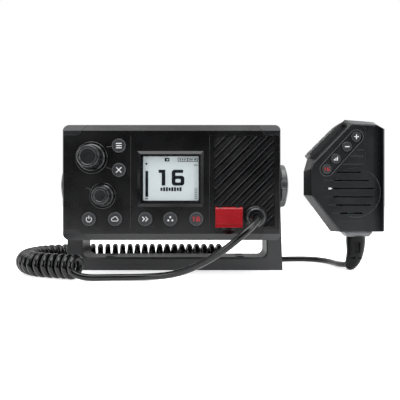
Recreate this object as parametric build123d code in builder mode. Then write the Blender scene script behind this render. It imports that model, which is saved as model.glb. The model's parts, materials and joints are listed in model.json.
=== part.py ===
from build123d import *
from math import asin, atan2, cos, degrees, pi, radians, sin, sqrt, tan
import os

# A compact fixed-mount VHF marine radio on a U bracket, with a fist handset on a curly cord.
# Millimetres. +Z is up, the front panel faces -Y, and the origin is the centre of the
# bracket's underside. Depths are measured from the front panel, backwards (+Y).

os.makedirs("parts", exist_ok=True)

# ---------------------------------------------------------------- driving dimensions
bezel_width = 163.5
bezel_height = 87.8
bezel_depth = 22.0
bezel_corner = 3.5
bezel_wall = 2.5
panel_thickness = 3.0
bezel_slant_height = 5.2
bezel_slant_depth = 6.0
bezel_bottom = 28.1
pivot_height = 70.7
pivot_depth = 55.5

chassis_width = 138.0
chassis_height = 72.0
chassis_depth = 62.0
chassis_wall = 3.0
fin_depth = 9.0
fin_thickness = 2.2
fin_count = 17

bracket_inner = 154.0
bracket_outer_base = 180.4
bracket_outer_top = 175.0
bracket_depth = 31.0
bracket_base = 10.8
bracket_fillet = 5.0
bracket_edge = 1.8
bracket_screw_x = 110.0
bracket_screw_y = 16.0
bracket_screw_hole = 4.6

stud_radius = 3.0
stud_clearance = 0.3
thread_clearance = 0.05
washer_thickness = 2.9
washer_radius = 11.0
boss_radius = 12.0
gimbal_knob_radius = 18.4
gimbal_knob_rim = 93.8
gimbal_knob_face = 97.2
gimbal_knob_gap = 0.25
gimbal_knob_scoops = 6
gimbal_scoop_radius = 10.0
gimbal_scoop_depth = 1.4
gimbal_scoop_angle = 56.5

clearance = 0.15
seat_gap = 0.2

lcd_x = -0.8
lcd_z = 74.4
lcd_frame_width = 49.7
lcd_frame_height = 41.9
lcd_frame_rim = 3.0
lcd_frame_rise = 2.2
lcd_window_thickness = 1.2
lcd_gasket_thickness = 1.0
lcd_module_lip = 2.6

board_depth = 8.0
board_thickness = 1.6
mat_thickness = 1.2

key_radius = 5.4
key_proud = 1.0
key_flange = 0.9
key_flange_thickness = 1.0
key_row_z = 44.45
key_places = {
    "key_menu": (-39.45, 99.35),
    "key_cancel": (-39.45, 81.2),
    "key_power": (-61.8, key_row_z),
    "key_weather": (-42.3, key_row_z),
    "key_scan": (-19.65, key_row_z),
    "key_watch": (-0.9, key_row_z),
    "key_16": (18.5, key_row_z),
}

channel_x = -59.8
channel_z = 90.3
channel_ring_radius = 12.1
channel_base_radius = 10.2
channel_top_radius = 8.4
channel_knob_height = 13.6
volume_x = -51.5
volume_z = 61.9
volume_ring_radius = 9.9
volume_base_radius = 8.2
volume_top_radius = 6.9
volume_knob_height = 10.6
ring_wall = 1.2
ring_height = 1.5
knob_push = 0.6
knob_gap = 0.9
shaft_radius = 3.0
shaft_clearance = 0.05

grille_left = 31.8
grille_right = 77.2
grille_bottom = 38.7
grille_top = 106.7
grille_pocket = 1.8
louvre_pitch = 5.6
louvre_proud = 0.3
louvre_slot = 1.3
speaker_x = 54.5
speaker_z = 80.5
speaker_radius = 22.0
speaker_depth = 15.0
magnet_radius = 13.0

cover_x = 42.9
cover_top = 53.5
cover_width = 20.3
cover_height = 15.2
cover_rise = 3.6
cover_wall = 1.2
cover_gap = 0.35
cover_hinge_drop = 1.35
cover_hinge_rise = 1.6
cover_barrel_radius = 1.3
hinge_pin_radius = 0.6
distress_width = 10.0
distress_height = 6.6
distress_travel = 1.0
scoop_radius = 7.0

mic_x = 62.6
mic_z = 45.95
mic_flange_radius = 7.95
mic_flange_thickness = 1.2
mic_coupling_radius = 6.9
mic_coupling_length = 5.6
mic_plug_radius = 4.4
mic_boot_end = 13.0

cap_top_width = 18.0
cap_low_width = 11.5
cap_height = 8.3
cap_gap = 0.15
cap_seat = 7.5

cord_radius = 2.45
coil_radius = 9.3
coil_bend_radius = 41.0
coil_bend_x = -82.0
coil_front_end = -71.0
coil_rear_end = 42.0
coil_rear_depth = 82.0

handset_bottom = 32.9
handset_top = 125.0
handset_front_depth = 22.0
handset_rear_depth = 50.0
handset_split_depth = 36.0
handset_wall = 2.2

# ---------------------------------------------------------------- values worked out once
panel_y = -pivot_depth
bezel_centre_z = bezel_bottom + bezel_height / 2
bezel_top = bezel_bottom + bezel_height
bezel_half = bezel_width / 2
bracket_half_depth = bracket_depth / 2
inner_half = bracket_inner / 2


def front(depth):
    """The plane at a depth behind the front panel; its sketches are (x, z), its normal faces forward."""
    return Plane(origin=(0, panel_y + depth, 0), x_dir=(1, 0, 0), z_dir=(0, -1, 0))


def finish(part, label):
    """Label a finished piece and write it."""
    part.label = label
    export_step(part, f"parts/{label}.step")


# ---------------------------------------------------------------- bracket
leg_top_radius = bracket_half_depth
leg_slope = (bracket_outer_base - bracket_outer_top) / 2
bracket_top = pivot_height + leg_top_radius
pocket_rib = 3.0
pocket_height = 6.5
pocket_block = 22.0

with BuildPart() as bracket:
    with BuildSketch(Plane.XZ) as u_profile:
        with BuildLine():
            Polyline(
                (-bracket_outer_base / 2, 0),
                (bracket_outer_base / 2, 0),
                (bracket_outer_top / 2, bracket_top),
                (inner_half, bracket_top),
                (inner_half, bracket_base),
                (-inner_half, bracket_base),
                (-inner_half, bracket_top),
                (-bracket_outer_top / 2, bracket_top),
                close=True,
            )
        make_face()
        inner_corners = u_profile.vertices().filter_by(
            lambda v: abs(v.Y - bracket_base) < 0.01 and abs(v.X) < inner_half + 0.01
        )
        fillet(inner_corners, bracket_fillet)
    extrude(amount=bracket_half_depth, both=True)
    # Round the tops of the legs about the pivot.
    with BuildSketch(Plane.YZ):
        with Locations((0, pivot_height / 2)):
            Rectangle(bracket_depth, pivot_height)
        with Locations((0, pivot_height)):
            Circle(leg_top_radius)
    extrude(amount=bracket_outer_base, both=True, mode=Mode.INTERSECT)
    # A soft edge all round the inside of the U.
    inner_edges = bracket.edges().filter_by(
        lambda e: max(abs(e.bounding_box().min.X), abs(e.bounding_box().max.X)) < inner_half + 0.01
    )
    fillet(inner_edges.filter_by(Axis.Y, reverse=True), bracket_edge)
    # Stud holes.
    with BuildSketch(Plane.YZ):
        with Locations((0, pivot_height)):
            Circle(stud_radius + stud_clearance)
    extrude(amount=bracket_outer_base, both=True, mode=Mode.SUBTRACT)
    # Cored-out underside, left and right of a solid middle block, and the screw holes.
    core_length = inner_half - pocket_block - 2 * pocket_rib
    with BuildSketch(Plane.XY):
        for side in (-1, 1):
            with Locations((side * (pocket_block + core_length / 2), 0)):
                RectangleRounded(core_length, bracket_depth - 2 * pocket_rib, 1.5)
        with GridLocations(bracket_screw_x, bracket_screw_y, 2, 2):
            Circle(bracket_screw_hole / 2 + 2.4, mode=Mode.SUBTRACT)
        for side in (-1, 1):
            with Locations((side * bracket_screw_x / 2, 0)):
                Rectangle(2.0, bracket_depth, mode=Mode.SUBTRACT)
    extrude(amount=pocket_height, mode=Mode.SUBTRACT)
    with Locations(Plane.XY.offset(bracket_base)):
        with GridLocations(bracket_screw_x, bracket_screw_y, 2, 2):
            CounterBoreHole(bracket_screw_hole / 2, 4.3, 2.6)
    # A shallow recess down the outer face of each leg.
    for side in (-1, 1):
        with BuildSketch(Plane.YZ.offset(side * (bracket_outer_base / 2 + 1))):
            with Locations((0, 34)):
                RectangleRounded(bracket_depth - 9, 44, 3)
        extrude(amount=-side * (leg_slope + 2.6), mode=Mode.SUBTRACT)
finish(bracket.part, "bracket")

# ---------------------------------------------------------------- front housing
corner_block_width = cap_top_width + 1.2 - bezel_wall / 2
corner_block_height = cap_height + 1.3 - bezel_wall / 2
screw_inset_x = 7.4
screw_inset_z = 4.5
flush_screw_radius = 1.8
key_hole_radius = key_radius + clearance
window_width = lcd_frame_width - 2 * lcd_frame_rim
window_height = lcd_frame_height - 2 * lcd_frame_rim
mic_barrel_radius = 5.8
distress_z = cover_top - cover_height / 2 - 1.2
hinge_z = cover_top - cover_hinge_drop
hinge_depth = -cover_hinge_rise
cover_bottom = cover_top - cover_height
grille_cut_x = cover_x + cover_width / 2 + 1.2
grille_cut_z = cover_top + 1.4
corners = [(sx, sz) for sx in (-1, 1) for sz in (-1, 1)]
ear_width = 2.0
ear_radius = 1.05
ear_x = cover_width / 2 - cover_wall - 2.4


def slanted_profile(inset, first, last):
    """The housing's side section (depth, z) between two depths, drawn inset from its outside."""
    low = bezel_bottom + inset
    high = bezel_top - inset
    slope = bezel_slant_height / bezel_slant_depth
    turn = bezel_slant_depth + inset * (sqrt(1 + slope**2) - 1) / slope if inset else bezel_slant_depth
    step = slope * (turn - first)
    return [
        (panel_y + first, low + step),
        (panel_y + turn, low),
        (panel_y + last, low),
        (panel_y + last, high),
        (panel_y + turn, high),
        (panel_y + first, high - step),
    ]


with BuildPart() as bezel_outside:
    with BuildSketch(Plane.YZ):
        with BuildLine():
            Polyline(*slanted_profile(0, 0, bezel_depth), close=True)
        make_face()
    extrude(amount=bezel_half, both=True)
    with BuildSketch(front(bezel_depth)):
        with Locations((0, bezel_centre_z)):
            RectangleRounded(bezel_width, bezel_height, bezel_corner)
    extrude(amount=bezel_depth, mode=Mode.INTERSECT)
    side_edges = (
        bezel_outside.edges()
        .filter_by(Axis.Z)
        .filter_by(lambda e: abs(e.center().Y - panel_y) < 0.01)
    )
    chamfer(side_edges, 0.8)

with BuildPart() as front_housing:
    add(bezel_outside.part)
    # Hollow behind the panel, with a solid block left in each corner for the flush screws.
    with BuildSketch(Plane.YZ):
        with BuildLine():
            Polyline(*slanted_profile(bezel_wall, panel_thickness, bezel_depth + 1), close=True)
        make_face()
    extrude(amount=bezel_half - bezel_wall, both=True, mode=Mode.SUBTRACT)
    with BuildSketch(front(bezel_depth)):
        for sx, sz in corners:
            block_x = sx * (bezel_half - bezel_wall / 2 - corner_block_width / 2)
            block_z = bezel_centre_z + sz * (bezel_height / 2 - bezel_wall / 2 - corner_block_height / 2)
            with Locations((block_x, block_z)):
                Rectangle(corner_block_width, corner_block_height)
    extrude(amount=bezel_depth - panel_thickness / 2)
    add(bezel_outside.part, mode=Mode.INTERSECT)
    # Pockets for the corner caps.
    with BuildSketch(front(cap_seat)):
        for sx, sz in corners:
            edge_x = sx * (bezel_half + 1)
            edge_z = bezel_centre_z + sz * (bezel_height / 2 + 1)
            low_x = sx * (bezel_half - cap_low_width)
            top_x = sx * (bezel_half - cap_top_width)
            low_z = bezel_centre_z + sz * (bezel_height / 2 - cap_height)
            with BuildLine():
                Polyline((edge_x, edge_z), (top_x, edge_z), (low_x, low_z), (edge_x, low_z), close=True)
            make_face()
    extrude(amount=cap_seat + 1, mode=Mode.SUBTRACT)
    with BuildSketch(front(bezel_depth + 1)):
        with Locations((0, bezel_centre_z)):
            with GridLocations(bezel_width - 2 * screw_inset_x, bezel_height - 2 * screw_inset_z, 2, 2):
                Circle(flush_screw_radius)
    extrude(amount=bezel_depth + 2, mode=Mode.SUBTRACT)
    # Display window, key and shaft holes, distress button, handset connector.
    with BuildSketch(front(panel_thickness + 1)):
        with Locations((lcd_x, lcd_z)):
            Rectangle(window_width, window_height)
        for place in key_places.values():
            with Locations(place):
                Circle(key_hole_radius)
        with Locations((channel_x, channel_z), (volume_x, volume_z)):
            Circle(shaft_radius + 0.4)
        with Locations((cover_x, distress_z)):
            RectangleRounded(distress_width + 2 * clearance, distress_height + 2 * clearance, 1.0)
        with Locations((mic_x, mic_z)):
            Circle(mic_barrel_radius + shaft_clearance)
        with Locations((speaker_x, speaker_z)):
            Circle(speaker_radius - 3)
    extrude(amount=panel_thickness + 2, mode=Mode.SUBTRACT)
    # The pocket that the louvred grille drops into.
    with BuildSketch(front(grille_pocket)) as grille_region:
        with Locations(((grille_left + grille_right) / 2, (grille_bottom + grille_top) / 2)):
            Rectangle(grille_right - grille_left, grille_top - grille_bottom)
        # Left clear for the distress cover and the handset connector.
        with Locations((grille_left, grille_bottom)):
            Rectangle(
                2 * (grille_cut_x - grille_left),
                2 * (grille_cut_z - grille_bottom),
                mode=Mode.SUBTRACT,
            )
            Rectangle(2 * (mic_x - grille_left), 2 * (mic_z - grille_bottom), mode=Mode.SUBTRACT)
        with Locations((mic_x, mic_z)):
            Circle(mic_flange_radius + 1.0, mode=Mode.SUBTRACT)
    extrude(amount=grille_pocket + 1, mode=Mode.SUBTRACT)
    # Finger scoop under the distress cover.
    with Locations((cover_x, panel_y - 4.9, cover_bottom - 0.6)):
        Sphere(scoop_radius, mode=Mode.SUBTRACT)
    # Hinge ears for the distress cover.
    for side in (-1, 1):
        with BuildSketch(Plane.YZ.offset(cover_x + side * ear_x - ear_width / 2)):
            with Locations((panel_y + hinge_depth / 2, hinge_z)):
                Rectangle(-hinge_depth + 1.0, 2 * ear_radius)
            with Locations((panel_y + hinge_depth, hinge_z)):
                Circle(ear_radius)
                Circle(hinge_pin_radius + shaft_clearance, mode=Mode.SUBTRACT)
        extrude(amount=ear_width)
    # Two shallow vertical grooves that divide the panel.
    with BuildSketch(front(0.5)):
        with Locations((-30.45, 72.2), (28.8, 72.2)):
            Rectangle(0.9, 70.5)
    extrude(amount=1.5, mode=Mode.SUBTRACT)
finish(front_housing.part, "front_housing")

# ---------------------------------------------------------------- corner caps over the flush screws
with BuildPart() as corner_caps:
    add(bezel_outside.part)
    with BuildSketch(front(cap_seat)):
        for sx, sz in corners:
            edge_x = sx * (bezel_half + 1)
            edge_z = bezel_centre_z + sz * (bezel_height / 2 + 1)
            low_x = sx * (bezel_half - cap_low_width + cap_gap)
            top_x = sx * (bezel_half - cap_top_width + cap_gap * 1.4)
            low_z = bezel_centre_z + sz * (bezel_height / 2 - cap_height + cap_gap)
            with BuildLine():
                Polyline((edge_x, edge_z), (top_x, edge_z), (low_x, low_z), (edge_x, low_z), close=True)
            make_face()
    extrude(amount=cap_seat, mode=Mode.INTERSECT)
finish(corner_caps.part, "corner_caps")

# ---------------------------------------------------------------- louvred speaker grille
louvre_root = grille_pocket - 0.9
louvre_span = 140.0
louvre_count = 2 * int(louvre_span / 2 / louvre_pitch)
grille_centre = ((grille_left + grille_right) / 2, (grille_bottom + grille_top) / 2)
# A frame turned 45 degrees in the panel: its X runs across the louvres, its Z along them.
louvre_plane = Plane(
    origin=(grille_centre[0], panel_y, grille_centre[1]),
    x_dir=(1, 0, -1),
    z_dir=(1, 0, 1),
)

with BuildPart() as speaker_grille:
    # Sawtooth section: each louvre ramps forward and drops at its edge.
    with BuildSketch(louvre_plane.offset(-louvre_span / 2)):
        with BuildLine():
            teeth = []
            for index in range(louvre_count):
                start = (index - louvre_count / 2) * louvre_pitch
                teeth.append((start, louvre_root))
                teeth.append((start + louvre_pitch - 0.5, -louvre_proud))
                teeth.append((start + louvre_pitch - 0.2, -louvre_proud))
                teeth.append((start + louvre_pitch - 0.2, louvre_root))
            end = louvre_count / 2 * louvre_pitch
            Polyline(*teeth, (end, louvre_root), (end, grille_pocket), (-end, grille_pocket), close=True)
        make_face()
    extrude(amount=louvre_span)
    with BuildSketch(front(grille_pocket)):
        add(grille_region.sketch)
        offset(amount=-clearance, kind=Kind.INTERSECTION)
    extrude(amount=grille_pocket + louvre_proud + 1, mode=Mode.INTERSECT)
    # Sound slots at the root of each louvre, over the speaker.
    with BuildSketch(front(grille_pocket + 1)):
        with Locations(Location((grille_centre[0], grille_centre[1]), -45)):
            for index in range(louvre_count):
                slot_x = (index - louvre_count / 2) * louvre_pitch + louvre_slot / 2 + 0.15
                with Locations((slot_x, 0)):
                    Rectangle(louvre_slot, louvre_span)
        with Locations((speaker_x, speaker_z)):
            Circle(speaker_radius - 3.5, mode=Mode.INTERSECT)
    extrude(amount=grille_pocket + 3, mode=Mode.SUBTRACT)
finish(speaker_grille.part, "speaker_grille")

# ---------------------------------------------------------------- speaker behind the grille
with BuildPart() as speaker_basket:
    with BuildSketch(front(panel_thickness + 1.6)):
        with Locations((speaker_x, speaker_z)):
            Circle(speaker_radius)
            Circle(speaker_radius - 3, mode=Mode.SUBTRACT)
    extrude(amount=1.6)
    with BuildSketch(front(panel_thickness + 1.6)):
        with Locations((speaker_x, speaker_z)):
            Circle(speaker_radius - 1)
    with BuildSketch(front(panel_thickness + 8)):
        with Locations((speaker_x, speaker_z)):
            Circle(magnet_radius)
    loft()
    with BuildSketch(front(panel_thickness + speaker_depth)):
        with Locations((speaker_x, speaker_z)):
            Circle(magnet_radius)
    extrude(amount=speaker_depth - 8)
    with BuildSketch(front(panel_thickness + 1.6)):
        with Locations((speaker_x, speaker_z)):
            Circle(speaker_radius - 3)
    with BuildSketch(front(panel_thickness + 8)):
        with Locations((speaker_x, speaker_z)):
            Circle(magnet_radius - 2)
    loft(mode=Mode.SUBTRACT)
finish(speaker_basket.part, "speaker_basket")

with BuildPart() as speaker_cone:
    cone_axis = Axis((speaker_x, panel_y, speaker_z), (0, 1, 0))
    with BuildSketch(Plane(origin=(speaker_x, panel_y, speaker_z), x_dir=(1, 0, 0), z_dir=(0, 0, 1))):
        with BuildLine():
            Polyline(
                (0, panel_thickness + 5.6),
                (4.0, panel_thickness + 6.8),
                (speaker_radius - 5.6, panel_thickness + 1.2),
                (speaker_radius - 3.4, panel_thickness + 1.2),
                (speaker_radius - 3.4, panel_thickness + 1.8),
                (speaker_radius - 5.4, panel_thickness + 1.8),
                (4.6, panel_thickness + 8),
                (0, panel_thickness + 8),
                close=True,
            )
        make_face()
    revolve(axis=cone_axis)
finish(speaker_cone.part, "speaker_cone")

# ---------------------------------------------------------------- display
lcd_frame_edge = 0.5
lcd_bevel_width = lcd_frame_rim - 0.6
with BuildPart() as lcd_frame:
    with BuildSketch(front(0)):
        with Locations((lcd_x, lcd_z)):
            Rectangle(lcd_frame_width, lcd_frame_height)
    extrude(amount=lcd_frame_edge)
    with BuildSketch(front(-lcd_frame_edge)):
        with Locations((lcd_x, lcd_z)):
            Rectangle(lcd_frame_width, lcd_frame_height)
    bevel_rise = lcd_frame_rise - lcd_frame_edge
    extrude(amount=bevel_rise, taper=degrees(atan2(lcd_bevel_width, bevel_rise)))
    with BuildSketch(front(0)):
        with Locations((lcd_x, lcd_z)):
            Rectangle(window_width, window_height)
    extrude(amount=lcd_frame_rise, mode=Mode.SUBTRACT)
finish(lcd_frame.part, "lcd_frame")

window_front = -0.8
window_back = window_front + lcd_window_thickness
gasket_back = window_back + lcd_gasket_thickness
glass_back = panel_thickness
with BuildPart() as lcd_window:
    with BuildSketch(front(window_back)):
        with Locations((lcd_x, lcd_z)):
            Rectangle(window_width - 2 * clearance, window_height - 2 * clearance)
    extrude(amount=lcd_window_thickness)
finish(lcd_window.part, "lcd_window")


with BuildPart() as lcd_module:
    with BuildSketch(front(glass_back)):
        with Locations((lcd_x, lcd_z)):
            Rectangle(window_width - 2 * clearance, window_height - 2 * clearance)
    extrude(amount=glass_back - gasket_back)
    with BuildSketch(front(board_depth)):
        with Locations((lcd_x, lcd_z)):
            RectangleRounded(window_width + lcd_module_lip, window_height + lcd_module_lip, 0.8)
    extrude(amount=board_depth - panel_thickness)
finish(lcd_module.part, "lcd_module")

# ---------------------------------------------------------------- keys and keypad mat
for key_name, (key_x, key_z) in key_places.items():
    with BuildPart() as key:
        key_profile = Plane(origin=(key_x, panel_y, key_z), x_dir=(1, 0, 0), z_dir=(0, 0, 1))
        flange_front = panel_thickness + seat_gap
        flange_back = flange_front + key_flange_thickness
        with BuildSketch(key_profile):
            with BuildLine():
                crown = Line((key_radius, flange_front), (key_radius, -key_proud + 0.5))
                ThreePointArc(
                    crown @ 1,
                    (key_radius - 0.2, -key_proud + 0.15),
                    (key_radius - 0.7, -key_proud),
                )
                Polyline(
                    (key_radius - 0.7, -key_proud),
                    (key_radius - 1.2, -key_proud + 0.18),
                    (0, -key_proud + 0.18),
                    (0, flange_back + 0.9),
                    (2.0, flange_back + 0.9),
                    (2.0, flange_back),
                    (key_radius + key_flange, flange_back),
                    (key_radius + key_flange, flange_front),
                    (key_radius, flange_front),
                )
            make_face()
        revolve(axis=Axis((key_x, panel_y, key_z), (0, 1, 0)))
    finish(key.part, key_name)

with BuildPart() as keypad_mat:
    mat_left = min(x for x, z in key_places.values()) - 8.0
    mat_right = max(x for x, z in key_places.values()) + 7.0
    mat_top = max(z for x, z in key_places.values()) + 7.0
    with BuildSketch(front(board_depth)):
        with Locations(((mat_left + mat_right) / 2, key_row_z - 0.6)):
            RectangleRounded(mat_right - mat_left, 11.6, 2.0)
        with Locations((key_places["key_menu"][0], (mat_top + key_row_z) / 2)):
            RectangleRounded(13.0, mat_top - key_row_z, 2.0)
        with Locations((volume_x, volume_z)):
            Circle(10.6, mode=Mode.SUBTRACT)
    extrude(amount=mat_thickness)
finish(keypad_mat.part, "keypad_mat")

# ---------------------------------------------------------------- front circuit board
flange_width = bezel_width - 2 * bezel_wall - 2 * clearance
flange_height = bezel_height - 2 * bezel_wall - 2 * clearance
with BuildPart() as front_board:
    with BuildSketch(front(board_depth + board_thickness)):
        with Locations((0, bezel_centre_z)):
            Rectangle(flange_width - 3, flange_height - 4)
            for sx, sz in corners:
                with Locations((sx * (flange_width - 3) / 2, sz * (flange_height - 4) / 2)):
                    Rectangle(
                        2 * (corner_block_width - 2),
                        2 * (corner_block_height - 2.5),
                        mode=Mode.SUBTRACT,
                    )
        # Room for the speaker, and for the handset connector.
        with Locations((speaker_x, speaker_z)):
            Circle(speaker_radius + 1.0, mode=Mode.SUBTRACT)
        with Locations((mic_x, mic_z)):
            Circle(mic_barrel_radius + 0.4, mode=Mode.SUBTRACT)
    extrude(amount=board_thickness)
finish(front_board.part, "front_board")

# ---------------------------------------------------------------- rotary knobs, their rings and encoders
encoder_size = 12.0
knob_bore_end = 3.0
shaft_end_gap = 0.4
grip_groove_radius = 0.55
grip_grooves = 24


def axial_plane(x, z):
    """A plane through an axis that runs back from the panel; its sketches are (radius, depth)."""
    return Plane(origin=(x, panel_y, z), x_dir=(1, 0, 0), z_dir=(0, 0, 1))


knobs = {
    "channel": (
        channel_x,
        channel_z,
        channel_ring_radius,
        channel_base_radius,
        channel_top_radius,
        channel_knob_height,
    ),
    "volume": (
        volume_x,
        volume_z,
        volume_ring_radius,
        volume_base_radius,
        volume_top_radius,
        volume_knob_height,
    ),
}
with BuildPart() as knob_rings:
    for knob_x, knob_z, ring_radius, base_radius, top_radius, height in knobs.values():
        with BuildSketch(axial_plane(knob_x, knob_z)):
            with BuildLine():
                Polyline(
                    (ring_radius - ring_wall, -ring_height + 0.5),
                    (ring_radius - ring_wall, 0),
                    (ring_radius, 0),
                    (ring_radius, -ring_height + 0.8),
                )
                ThreePointArc(
                    (ring_radius, -ring_height + 0.8),
                    (ring_radius - 0.35, -ring_height + 0.1),
                    (ring_radius - ring_wall, -ring_height + 0.5),
                )
            make_face()
        revolve(axis=Axis((knob_x, panel_y, knob_z), (0, 1, 0)))
finish(knob_rings.part, "knob_rings")

with BuildPart() as encoders:
    with BuildSketch(front(board_depth)):
        for knob_x, knob_z, ring_radius, base_radius, top_radius, height in knobs.values():
            with Locations((knob_x, knob_z)):
                Rectangle(encoder_size, encoder_size)
                Circle(shaft_radius + shaft_clearance, mode=Mode.SUBTRACT)
    extrude(amount=board_depth - panel_thickness - seat_gap)
finish(encoders.part, "encoders")

for knob_name, (knob_x, knob_z, ring_radius, base_radius, top_radius, height) in knobs.items():
    with BuildPart() as knob:
        with BuildSketch(axial_plane(knob_x, knob_z)):
            with BuildLine():
                Polyline(
                    (shaft_radius + shaft_clearance, -height + knob_bore_end),
                    (shaft_radius + shaft_clearance, -knob_gap),
                    (base_radius, -knob_gap),
                    (base_radius, -knob_gap - 1.6),
                    (base_radius - 0.9, -knob_gap - 2.4),
                    (top_radius + 0.15, -height + 2.0),
                    (top_radius - 0.3, -height + 1.3),
                    (top_radius - 0.3, -height + 1.0),
                )
                ThreePointArc(
                    (top_radius - 0.3, -height + 1.0),
                    (top_radius - 0.75, -height + 0.25),
                    (top_radius - 1.5, -height),
                )
                Polyline(
                    (top_radius - 1.5, -height),
                    (top_radius - 2.1, -height),
                    (top_radius - 2.8, -height + 0.6),
                    (0, -height + 0.75),
                    (0, -height + knob_bore_end),
                    (shaft_radius + shaft_clearance, -height + knob_bore_end),
                )
            make_face()
        revolve(axis=Axis((knob_x, panel_y, knob_z), (0, 1, 0)))
        # Grip flutes round the tapered side.
        flute_plane = Plane(
            origin=(knob_x, panel_y - knob_gap - 2.6, knob_z), x_dir=(1, 0, 0), z_dir=(0, -1, 0)
        )
        with BuildSketch(flute_plane):
            with PolarLocations(base_radius - 0.35, grip_grooves):
                Circle(grip_groove_radius)
        extrude(amount=height - knob_gap - 5.2, mode=Mode.SUBTRACT)
    finish(knob.part, f"{knob_name}_knob")

    with BuildPart() as shaft:
        with BuildSketch(front(board_depth - knob_push - seat_gap)):
            with Locations((knob_x, knob_z)):
                Circle(shaft_radius)
        extrude(amount=board_depth - knob_push - seat_gap + height - knob_bore_end - shaft_end_gap)
    finish(shaft.part, f"{knob_name}_shaft")

# ---------------------------------------------------------------- distress button and its hinged cover
with BuildPart() as distress_button:
    with BuildSketch(front(panel_thickness + seat_gap)):
        with Locations((cover_x, distress_z)):
            RectangleRounded(distress_width, distress_height, 1.0)
    extrude(amount=panel_thickness + seat_gap)
    crown_edges = distress_button.faces().sort_by(Axis.Y)[0].edges()
    fillet(crown_edges, 0.6)
    with BuildSketch(front(panel_thickness + seat_gap + 1.0)):
        with Locations((cover_x, distress_z)):
            RectangleRounded(distress_width + 2.4, distress_height + 2.0, 1.0)
    extrude(amount=1.0)
    with BuildSketch(front(board_depth - distress_travel - seat_gap)):
        with Locations((cover_x, distress_z)):
            Circle(1.8)
    extrude(amount=board_depth - distress_travel - seat_gap - panel_thickness - seat_gap)
finish(distress_button.part, "distress_button")

cover_lip = 2.0
cover_left = cover_x - cover_width / 2
with BuildPart() as distress_cover:
    # Side section: a flat face that rounds over into the hinge barrel, with a lip at the bottom.
    with BuildSketch(Plane.YZ.offset(cover_left)):
        with BuildLine():
            face_y = panel_y - cover_rise
            back_y = panel_y - cover_gap
            Polyline(
                (back_y, hinge_z),
                (back_y, cover_bottom),
                (face_y - 0.1, cover_bottom),
                (face_y + 0.5, cover_bottom + cover_lip),
                (face_y, cover_bottom + cover_lip + 0.5),
                (face_y, hinge_z - 1.6),
            )
            ThreePointArc(
                (face_y, hinge_z - 1.6),
                (face_y + 0.75, hinge_z + 0.55),
                (panel_y + hinge_depth, hinge_z + cover_barrel_radius),
            )
            ThreePointArc(
                (panel_y + hinge_depth, hinge_z + cover_barrel_radius),
                (
                    panel_y + hinge_depth + cover_barrel_radius * cos(radians(44)),
                    hinge_z + cover_barrel_radius * sin(radians(44)),
                ),
                (back_y, hinge_z),
            )
        make_face()
    extrude(amount=cover_width)
    # Hollow back, below the hinge barrel.
    hollow_top = hinge_z - cover_barrel_radius - 0.3
    hollow_bottom = cover_bottom + cover_wall
    with BuildSketch(front(-cover_gap + 0.2)):
        with Locations((cover_x, (hollow_top + hollow_bottom) / 2)):
            RectangleRounded(cover_width - 2 * cover_wall, hollow_top - hollow_bottom, 0.6)
    extrude(amount=cover_rise - cover_gap - cover_wall + 0.2, mode=Mode.SUBTRACT)
    # Notches for the housing's ears, and the pin hole.
    for side in (-1, 1):
        with BuildSketch(Plane.YZ.offset(cover_x + side * ear_x - ear_width / 2 - seat_gap)):
            with Locations((panel_y + hinge_depth, hinge_z)):
                Circle(ear_radius + 0.3)
            with Locations((panel_y + hinge_depth / 2 + 1, hinge_z - 0.8)):
                Rectangle(-hinge_depth + 2, 2 * ear_radius + 2.2)
        extrude(amount=ear_width + 2 * seat_gap, mode=Mode.SUBTRACT)
    with BuildSketch(Plane.YZ.offset(cover_left + 0.7)):
        with Locations((panel_y + hinge_depth, hinge_z)):
            Circle(hinge_pin_radius + shaft_clearance)
    extrude(amount=cover_width - 1.4, mode=Mode.SUBTRACT)
finish(distress_cover.part, "distress_cover")

with BuildPart() as hinge_pin:
    with BuildSketch(Plane.YZ.offset(cover_x)):
        with Locations((panel_y + hinge_depth, hinge_z)):
            Circle(hinge_pin_radius)
    extrude(amount=cover_width / 2 - 0.8, both=True)
finish(hinge_pin.part, "distress_hinge_pin")

# ---------------------------------------------------------------- handset connector on the panel
mic_axis = Axis((mic_x, panel_y, mic_z), (0, 1, 0))
mic_plane = axial_plane(mic_x, mic_z)
socket_front = -4.4
socket_back = board_depth + board_thickness + 2.4
plug_back = 6.0
coupling_front = -mic_flange_thickness - seat_gap - mic_coupling_length
plug_front = coupling_front - seat_gap
plug_clearance = 0.1

with BuildPart() as mic_socket:
    with BuildSketch(mic_plane):
        with BuildLine():
            Polyline(
                (mic_plug_radius + plug_clearance, socket_front),
                (mic_barrel_radius - 0.6, socket_front),
                (mic_barrel_radius - 0.6, -mic_flange_thickness),
                (mic_flange_radius - 0.5, -mic_flange_thickness),
                (mic_flange_radius, -mic_flange_thickness + 0.5),
                (mic_flange_radius, 0),
                (mic_barrel_radius, 0),
                (mic_barrel_radius, socket_back),
                (0, socket_back),
                (0, plug_back + 1.0),
                (mic_plug_radius + plug_clearance, plug_back + 1.0),
                close=True,
            )
        make_face()
    revolve(axis=mic_axis)
finish(mic_socket.part, "mic_socket")

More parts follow.
